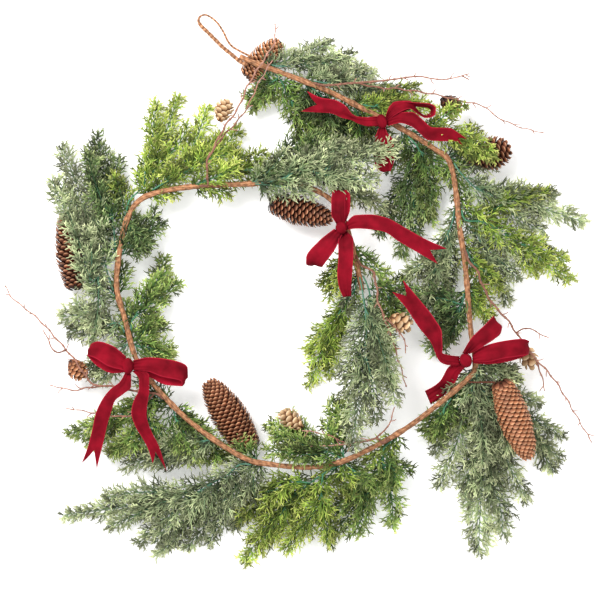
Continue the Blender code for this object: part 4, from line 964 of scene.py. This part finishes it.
# %% Twig routes
TWIGS = [
    (1, 60, [
        (0, [(350, 84, 48), (385, 81, 46), (418, 77, 44), (443, 80, 42), (469, 74, 40)]),
        (0.28, [(375, 88, 50), (400, 90, 52), (437, 96, 54), (457, 101, 54), (485, 108, 50),
                (494, 116, 48), (521, 128, 44), (543, 133, 42)]),
        (0.95, [(469, 80, 40)]),
    ]),
    (14, 45, [
        (0, [(142, 392, 48), (115, 386, 46), (94, 384, 44), (75, 359, 48), (56, 338, 38),
             (38, 319, 32), (10, 296, 24), (4, 285, 22)]),
        (0.30, [(92, 387, 42), (73, 390, 38), (50, 385, 34)]),
        (0.05, [(131, 415, 46), (98, 413, 42), (66, 408, 38)]),
        (0.56, [(57, 352, 46), (43, 329, 40)]),
    ]),
    (20, 90, [
        (0, [(207, 165, 52), (216, 145, 54), (225, 128, 56), (239, 108, 56), (248, 87, 56),
             (264, 61, 56), (275, 42, 54), (275, 24, 52)]),
        (0.25, [(228, 132, 50), (240, 119, 50), (249, 105, 50), (260, 82, 54), (273, 61, 54)]),
    ]),
    (10, 90, [
        (0, [(378, 438, 50), (358, 442, 50), (331, 445, 48), (310, 446, 46)]),
        (0.55, [(325, 434, 46), (302, 430, 46)]),
        (0.22, [(388, 425, 52), (394, 407, 52)]),
    ]),
    (6, 60, [
        (0, [(477, 272, 48), (483, 288, 48), (494, 306, 46), (507, 320, 44), (529, 352, 42),
             (553, 378, 36), (578, 418, 26), (593, 443, 16)]),
        (0.42, [(524, 328, 42), (549, 338, 38)]),
        (0.56, [(541, 374, 36), (545, 391, 30)]),
    ]),
    (22, 60, [
        (0, [(373, 273, 52), (378, 302, 54), (388, 329, 54), (396, 353, 52), (406, 387, 48)]),
        (0.47, [(404, 340, 55), (405, 353, 52)]),
    ]),
]
print("twigs", len(TWIGS))

# %% Twig strands and spurs
TWIG_RADIUS, TWIG_TIP = 0.0016, 0.0008
FORK_RADIUS, FORK_TIP = TWIG_RADIUS * 0.72, 0.0007
BUMP_PITCH = 0.013
SPUR_PITCH = 0.019


def twig_part(line, thick, thin, phase):
    """One strand: radius = taper (1 + a bump at each node + fine waver), slightly crooked."""
    length = distances(line)[-1]
    s = distances(line)[:, None]
    ease = np.clip(s / 0.015, 0, 1) * np.clip((length - s) / 0.01, 0, 1)
    crook = np.sin(s * 260 + phase) * 0.0009 * ease
    line = line + crook * np.array([[np.cos(phase), np.sin(phase), 0.35]])

    def size(where, angle):
        taper = thick + (thin - thick) * where / length
        off = (where + phase * 0.003) % BUMP_PITCH - BUMP_PITCH / 2
        bump = 0.45 * np.exp(-(off / 0.0011) ** 2)
        return taper * (0.88 + bump + 0.07 * np.sin(3 * angle + where * 800))

    made, along = tube_along(line, size, 7, 0.0013)
    return (*made, {"share": along / length, "tone": np.full(len(along), 0.6)}), line


def spurs(line):
    """Short crooked side twigs along a strand, by turns to the left and to the right."""
    length = distances(line)[-1]
    found = []
    for k, where in enumerate(np.arange(0.03, length - 0.004, SPUR_PITCH)):
        spot = np.array([where + rng.uniform(-0.005, 0.005)])
        middle, forward, left, up = [v[0] for v in frames(line, spot)]
        turn = (1 if k % 2 else -1) * rng.uniform(0.6, 1.1)
        way = np.cos(turn) * forward + np.sin(turn) * left + rng.uniform(0.0, 0.35) * up
        run = rng.uniform(0.004, 0.010)
        bend = np.cross(way, UP) * rng.uniform(-0.2, 0.2)
        found.append(smooth(np.array([middle, middle + way * run * 0.5,
                                      middle + (way + bend) * run]), 0.0008))
    return found


def spur_radius(where, angle):
    """A spur tapers by 0.03 of its run."""
    return 0.00075 - 0.03 * where


# %% Make the twigs
twig_wood = finish("twig", [(0.0, (0.20, 0.085, 0.055)), (0.6, (0.36, 0.17, 0.12)),
                            (1.0, (0.46, 0.25, 0.19))], "share", 0.7, 300, 1500, 0.4, 0.4,
                   tone=(0.8, 1.1))
for number, (root, side, forks) in enumerate(TWIGS, 1):
    parts = []
    for index, (fork, route) in enumerate(forks):
        if not parts:
            start, forward, out = seat(WRAPS[root], side, WRAP_LENGTH / 2 + 0.001)
            line = smooth(np.vstack([start, start + forward * 0.010 + out * 0.002, plan(route)]))
            part, line = twig_part(line, TWIG_RADIUS, TWIG_TIP, 0.0)
            first = line
        else:
            spot = at(first, np.array([fork * distances(first)[-1]]))[0]
            part, line = twig_part(smooth(np.vstack([spot, plan(route)])), FORK_RADIUS, FORK_TIP,
                                   2.0 * index)
        parts.append(part)
        for spur in spurs(line):
            made, _ = tube_along(spur, spur_radius, 5, 0.0012)
            parts.append(even_fields(made, share=0.7, tone=0.7))
    piece(f"twig_{number}_wood", joined(parts), twig_wood, [f"twig_{number}"])
    print("twig", number, "strands", len(forks), "spurs", len(parts) - len(forks))

# %% [markdown]
# ## Velvet bows
# Each bow is one velvet ribbon, 22 mm wide and satin on its back, tied round the stem. A run
# of ribbon is ruled between its two edges: at every station the left and the right edge are
# known in plan, and the heights are set so that the strip keeps its width. A swallowtail is
# the same strip with its last row drawn back in the middle.

# %% Curves through stations
def pchip(x, y, where):
    """Monotone cubic interpolation of the columns of y, so that strips do not overshoot."""
    h = np.diff(x)[:, None]
    slope = np.diff(y, axis=0) / h
    inner = np.where(slope[:-1] * slope[1:] > 0,
                     2 * slope[:-1] * slope[1:] / (slope[:-1] + slope[1:] + 1e-30), 0.0)
    m = np.vstack([slope[:1], inner, slope[-1:]])
    k = np.clip(np.searchsorted(x, where) - 1, 0, len(x) - 2)
    t = ((where - x[k]) / (x[k + 1] - x[k]))[:, None]
    a, b = y[k], y[k + 1]
    da, db = m[k] * h[k], m[k + 1] * h[k]
    return ((2 * t ** 3 - 3 * t ** 2 + 1) * a + (t ** 3 - 2 * t ** 2 + t) * da
            + (-2 * t ** 3 + 3 * t ** 2) * b + (t ** 3 - t ** 2) * db)


# %% Ribbon strip
RIBBON_THICKNESS = 0.0006
ROW_STEP = 0.0022
COLUMNS = 17
GATHER_REACH = 0.012


def ribbon(stations, notch):
    """A closed thin strip between two edges, as (points, quads, triangles, fields), and its run.

    A station is (left u, v, height, right u, v, height). point(t, c) = middle(t) + c half(t)
    + gather(t, c) normal, and t is drawn back by notch (1 - |c|) near the end. The gather is
    sin(11 c) that fades away from the knot, and a slow wave. A strip without a notch is a
    loop, with a knot at both ends. The pile is on the side that lies up at the strip's end.
    """
    looped = float(notch == 0.0)
    stations = np.asarray(stations, float)
    both = np.hstack([plan(stations[:, :3]), plan(stations[:, 3:])])
    middle = (both[:, :3] + both[:, 3:]) / 2
    length = distances(middle)[-1]
    fine = np.linspace(0, 1, 200)
    curve = pchip(distances(middle) / length, both, fine)
    rows = max(12, int(length / ROW_STEP))
    t = np.linspace(0, 1, rows)[:, None]
    c = np.linspace(-1, 1, COLUMNS)[None, :]
    t = t - notch * (1 - np.abs(c)) * t ** 5
    pick = np.stack([np.interp(t, fine, curve[:, k]) for k in range(6)], axis=-1)
    left, right = pick[..., :3], pick[..., 3:]
    grid = (left + right) / 2 + c[..., None] * (left - right) / 2
    du, dv = np.gradient(grid, axis=0), np.gradient(grid, axis=1)
    normal = np.cross(du, dv)
    normal /= np.linalg.norm(normal, axis=-1)[..., None] + 1e-12
    run = t * length
    ease = np.exp(-run / GATHER_REACH) + looped * np.exp(-(length - run) / GATHER_REACH)
    gather = 0.0011 * np.sin(11 * c + 3 * length) * ease + 0.0006 * np.sin(4 * c + run * 95)
    grid = grid + gather[..., None] * normal
    half = RIBBON_THICKNESS / 2
    top, bottom = grid + normal * half, grid - normal * half
    points = np.concatenate([top.reshape(-1, 3), bottom.reshape(-1, 3)])
    index = np.arange(rows * COLUMNS).reshape(rows, COLUMNS)
    under = index + rows * COLUMNS
    a, b, d, e = index[:-1, :-1], index[:-1, 1:], index[1:, 1:], index[1:, :-1]
    quads = [np.stack([a, e, d, b], -1).reshape(-1, 4)]
    quads.append(np.stack([a, b, d, e], -1).reshape(-1, 4) + rows * COLUMNS)
    for high, low in ((index[:, 0], under[:, 0]), (index[::-1, -1], under[::-1, -1]),
                      (index[-1], under[-1]), (index[0, ::-1], under[0, ::-1])):
        quads.append(np.stack([high[:-1], low[:-1], low[1:], high[1:]], -1))
    edge = np.broadcast_to(np.abs(c), (rows, COLUMNS)).ravel()
    turned = float(normal[2 * rows // 3:, :, 2].mean() < 0)
    fields = {"back": np.repeat([turned, 1 - turned], len(edge)), "edge": np.tile(edge, 2)}
    return (points, np.vstack(quads), np.zeros((0, 3), int), fields), length


# %% Knot
def knot(middle, run, size):
    """The knot: an oval barrel, gathered in folds along its run; size is half length, radius."""
    middle = plan([middle])[0]
    run = np.array([run[0], -run[1], 0.0]) / np.hypot(*run)
    line = np.array([middle - run * size[0], middle + run * size[0]])

    def radius(where, angle):
        share = np.clip(where / (2 * size[0]), 0, 1)
        barrel = np.sqrt(np.maximum(0.10, 1 - (2 * share - 1) ** 2 * 0.92))
        return size[1] * barrel * (1 + 0.07 * np.sin(7 * angle + 5 * share))

    made, _ = tube_along(line, radius, 28, size[0] / 9)
    return even_fields(made, back=0.0, edge=0.0)


# %% Velvet
def velvet_finish():
    """Crimson pile, brighter seen at a slant; the back is lighter and a painted highlight runs
    along the edge.
    """
    material = finish("crimson velvet", [(0.0, (0.20, 0.0035, 0.012)), (1.0, (0.40, 0.008, 0.026))],
                      "back", 0.75, 55, 1800, 0.45, 0.35, gloss=0.06)
    tree = material.node_tree
    shader = tree.nodes["Principled BSDF"]
    shader.inputs["Sheen Weight"].default_value = 0.08
    shader.inputs["Sheen Roughness"].default_value = 0.3
    shader.inputs["Sheen Tint"].default_value = (1.0, 0.2, 0.3, 1.0)
    # A lighter crimson mixed in near both edges is a painted highlight.
    edge = node(tree, "Attribute", attribute_name="edge")
    painted_edge_highlight = node(tree, "MapRange", {"From Min": 0.86, "From Max": 0.96, "To Max": 0.6})
    mix = node(tree, "Mix", {7: (0.50, 0.02, 0.045, 1.0)}, data_type="RGBA")
    tree.links.new(edge.outputs["Fac"], painted_edge_highlight.inputs["Value"])
    tree.links.new(painted_edge_highlight.outputs["Result"], mix.inputs["Factor"])
    tree.links.new(shader.inputs["Base Color"].links[0].from_socket, mix.inputs[6])
    tree.links.new(mix.outputs[2], shader.inputs["Base Color"])
    return material


VELVET = velvet_finish()
print("finish:", VELVET.name)

# %% Bow stations
# Each bow: its strips, as stations and a notch, then the knot's middle, run and size.
BOWS = {
    "ribbon_bow_1": ([
        ([(378, 117, 53, 379, 127, 53), (367, 118, 53, 368, 127, 53),
          (358, 117.5, 56, 358.5, 124.5, 54), (352, 115.5, 59, 351, 120.5, 54),
          (345, 107, 58, 343, 119, 53), (335, 101, 56, 330, 114, 52),
          (321, 98.5, 54, 316, 113, 50), (307, 92, 52, 301, 112, 49)], 0.17),
        ([(386, 117, 54, 387, 127, 54), (397, 113.5, 58, 399, 124, 57),
          (411, 113, 60, 410, 127, 58), (420, 119, 61, 418, 133, 58),
          (432, 128.5, 61, 428, 141, 58), (448, 129, 60, 445, 142, 56),
          (457, 133.5, 59, 453, 142, 55), (466, 140, 58, 462, 146, 54)], 0.10),
        ([(384, 121, 51, 389, 117, 51), (390, 106, 52, 398, 115, 51),
          (402, 102.5, 56, 407, 111, 50), (415, 103.5, 62, 414, 107, 46),
          (427, 104.5, 63, 426, 107.5, 45), (434.5, 109, 63, 431, 110.5, 45),
          (433.5, 116, 63, 430, 113.5, 45), (425, 118.5, 62, 424, 115.5, 46),
          (417, 114.5, 60, 418, 110.5, 48), (409, 110, 60, 409, 101.5, 53),
          (398, 114, 60, 394, 103, 56), (387, 121, 56, 386, 115, 56)], 0.0),
        ([(384, 130, 50, 378, 130, 50), (393, 142, 49, 378, 148, 49),
          (394, 160, 48, 379, 166, 48), (390, 172, 52, 378, 172, 52),
          (390, 160, 57, 373, 158, 57), (390, 145, 58, 373, 146, 58),
          (385, 129, 55, 378, 129, 55)], 0.0),
    ], ((381.5, 122.5, 55), (0.25, 1), (0.0085, 0.0062))),
    "ribbon_bow_2": ([
        ([(459, 365, 52, 459, 356, 52), (449, 365, 54, 450, 355, 55),
          (440, 362, 56, 441, 352, 62), (431, 343, 54, 441, 333, 64),
          (418, 327, 54, 434, 319, 60), (405, 307, 53, 420, 301, 57),
          (392, 292, 51, 402.5, 280, 55)], 0.13),
        ([(466, 366, 49, 457, 360, 49), (459, 374, 44, 448, 367, 44),
          (453, 387, 36, 440, 381, 36), (446, 394, 31, 434, 386, 31),
          (431, 405, 29, 425, 391, 29)], 0.0),
        ([(472, 352, 50, 462, 356, 50), (484, 344, 51, 470, 345, 51),
          (500, 333, 52, 487, 325, 52), (501, 327, 56, 492, 316, 56),
          (496, 336, 64, 484, 324, 64), (482, 346, 63, 470, 338, 63),
          (470, 353, 57, 461, 353, 57)], 0.0),
        ([(472, 363, 50, 472, 355, 50), (485, 364, 47, 482, 350, 47),
          (510, 361, 45, 506, 346, 45), (528, 354, 50, 528, 341, 52),
          (524, 355, 58, 521, 338.5, 59), (503, 358, 59, 500, 341, 60),
          (482, 362, 58, 480, 347, 59), (472, 362, 55, 472, 353, 55)], 0.0),
    ], ((465, 360, 55), (0.35, 1), (0.0085, 0.0072))),
    "ribbon_bow_3": ([
        ([(127, 370, 51, 132, 374, 51), (121, 381, 54, 132, 386, 54),
          (111, 389, 55, 125, 393, 55), (102, 401, 53, 116, 400, 53),
          (96.5, 413, 50, 112, 411, 50), (93, 428, 47, 108, 424, 47),
          (89, 444, 44, 104, 441, 44), (82, 463, 41, 97, 469, 41)], 0.16),
        ([(133, 371, 52, 139, 367, 52), (140, 379, 57, 150, 375, 57),
          (140, 388, 58, 150, 389, 56), (134, 402, 55, 148, 404, 52),
          (132, 412, 53, 147, 414, 49), (136, 426, 51, 149, 424, 46),
          (142, 436, 48, 153, 434, 43), (149, 449, 46, 159, 446, 41),
          (153, 463, 44, 167, 471, 39)], 0.15),
        ([(127, 372, 49, 127, 360, 49), (114, 373, 49, 116, 357, 49),
          (97, 365, 50, 100, 350, 50), (88, 355, 56, 91, 345, 56),
          (95, 357, 62, 99, 341, 62), (110, 366, 61, 113, 345, 61),
          (125, 370, 56, 127, 356, 56)], 0.0),
        ([(134, 360, 48, 134, 370, 48), (152, 365, 46, 150, 377, 46),
          (174, 374, 47, 168, 385, 47), (188, 377, 52, 183, 386, 52),
          (188, 367, 58, 182, 381, 58), (170, 359, 59, 162, 376, 59),
          (150, 357, 58, 148, 371, 58), (134, 360, 54, 134, 370, 54)], 0.0),
    ], ((128.5, 365.5, 54), (0.1, 1), (0.0095, 0.0068))),
    "ribbon_bow_4": ([
        ([(345, 223, 55, 347, 230, 55), (355, 215.5, 61, 357, 229, 61),
          (370, 215, 64, 371, 230, 63), (385, 218, 64, 383, 232, 63),
          (404, 228, 62, 397, 241, 61), (422, 238, 59, 414, 251, 58),
          (446, 249, 56, 437, 264, 55)], 0.13),
        ([(339, 233, 51, 347, 231, 51), (338, 245, 60, 353, 240, 60),
          (338, 258, 63, 353, 253, 63), (337, 275, 62, 352, 272, 62),
          (339, 288, 60, 351, 286, 60), (343, 297, 58, 351, 296, 58)], 0.0),
        ([(346, 222, 53, 338, 222, 53), (350, 208, 54, 336, 208, 54),
          (350, 196, 57, 336, 195, 57), (347, 191, 61, 333, 191, 61),
          (345, 200, 65, 331, 202, 65), (345, 212, 64, 331, 214, 64),
          (345, 224, 58, 336, 224, 58)], 0.0),
        ([(333, 235, 50, 340, 228, 50), (322, 252, 47, 331, 240, 47),
          (312, 266, 46, 322, 258, 46), (306, 264, 51, 322, 267, 51),
          (306, 258, 56, 325, 263, 57), (319, 241, 58, 334, 251, 59),
          (334, 229, 57, 342, 235, 57)], 0.0),
    ], ((341, 228, 57), (0.1, 1), (0.0075, 0.0068))),
}
print("strips in each bow:", [len(strips) for strips, _ in BOWS.values()])

# %% Make the bows
for name, (strips, (middle, run, size)) in BOWS.items():
    parts, total_length = [knot(middle, run, size)], 0.0
    for stations, notch in strips:
        part, length = ribbon(stations, notch)
        parts.append(part)
        total_length += length
    bow = piece(name.replace("ribbon_", "velvet_"), joined(parts), VELVET, [name])

# %% [markdown]
# ## Table, light and camera
# The garland was photographed straight down on a bright white table under broad soft light,
# so shadows are faint. The camera is high with a long lens, which keeps the plan true.

# %% Table and light
bpy.ops.mesh.primitive_plane_add(size=8.0, location=(0, 0, -0.0006))
table = bpy.context.object
table.name = "table"
paper_white = bpy.data.materials.new("white table")
paper_white.use_nodes = True
shader = paper_white.node_tree.nodes["Principled BSDF"]
shader.inputs["Base Color"].default_value = (0.94, 0.94, 0.94, 1)
shader.inputs["Roughness"].default_value = 0.9
shader.inputs["Emission Color"].default_value = (1, 1, 1, 1)
shader.inputs["Emission Strength"].default_value = 0.30
table.data.materials.append(paper_white)

world = bpy.data.worlds.new("studio")
bpy.context.scene.world = world
world.use_nodes = True
sky = world.node_tree.nodes["Background"]
sky.inputs["Color"].default_value = (1, 1, 1, 1)
sky.inputs["Strength"].default_value = 0.75
AIM = Vector((0, 0, 0.03))


def softbox(name, spot, size, power):
    """A square area lamp that looks at the garland's middle."""
    light = bpy.data.lights.new(name, "AREA")
    light.size, light.energy = size, power
    lamp = bpy.data.objects.new(name, light)
    lamp.location = spot
    lamp.rotation_euler = (AIM - Vector(spot)).to_track_quat("-Z", "Y").to_euler()
    bpy.context.scene.collection.objects.link(lamp)


softbox("key", (-0.7, 0.8, 1.5), 0.8, 36)
softbox("fill", (1.3, -0.5, 1.4), 1.6, 9)
print("lamps: key and fill, world strength 0.75")

# %% Camera
LENS, SENSOR = 200.0, 36.0
HEIGHT_OF_PLAN = 0.035
frame_width = 600 * UNIT
look_at = plan([(300, 295, 35)])[0]
camera_data = bpy.data.cameras.new("camera")
camera_data.lens, camera_data.sensor_width = LENS, SENSOR
camera_data.clip_end = 50
camera = bpy.data.objects.new("camera", camera_data)
camera.location = (look_at[0], look_at[1], HEIGHT_OF_PLAN + frame_width * LENS / SENSOR)
bpy.context.scene.collection.objects.link(camera)
bpy.context.scene.camera = camera
bpy.context.scene.view_settings.view_transform = "Standard"
print("camera height", round(camera.location.z, 3))
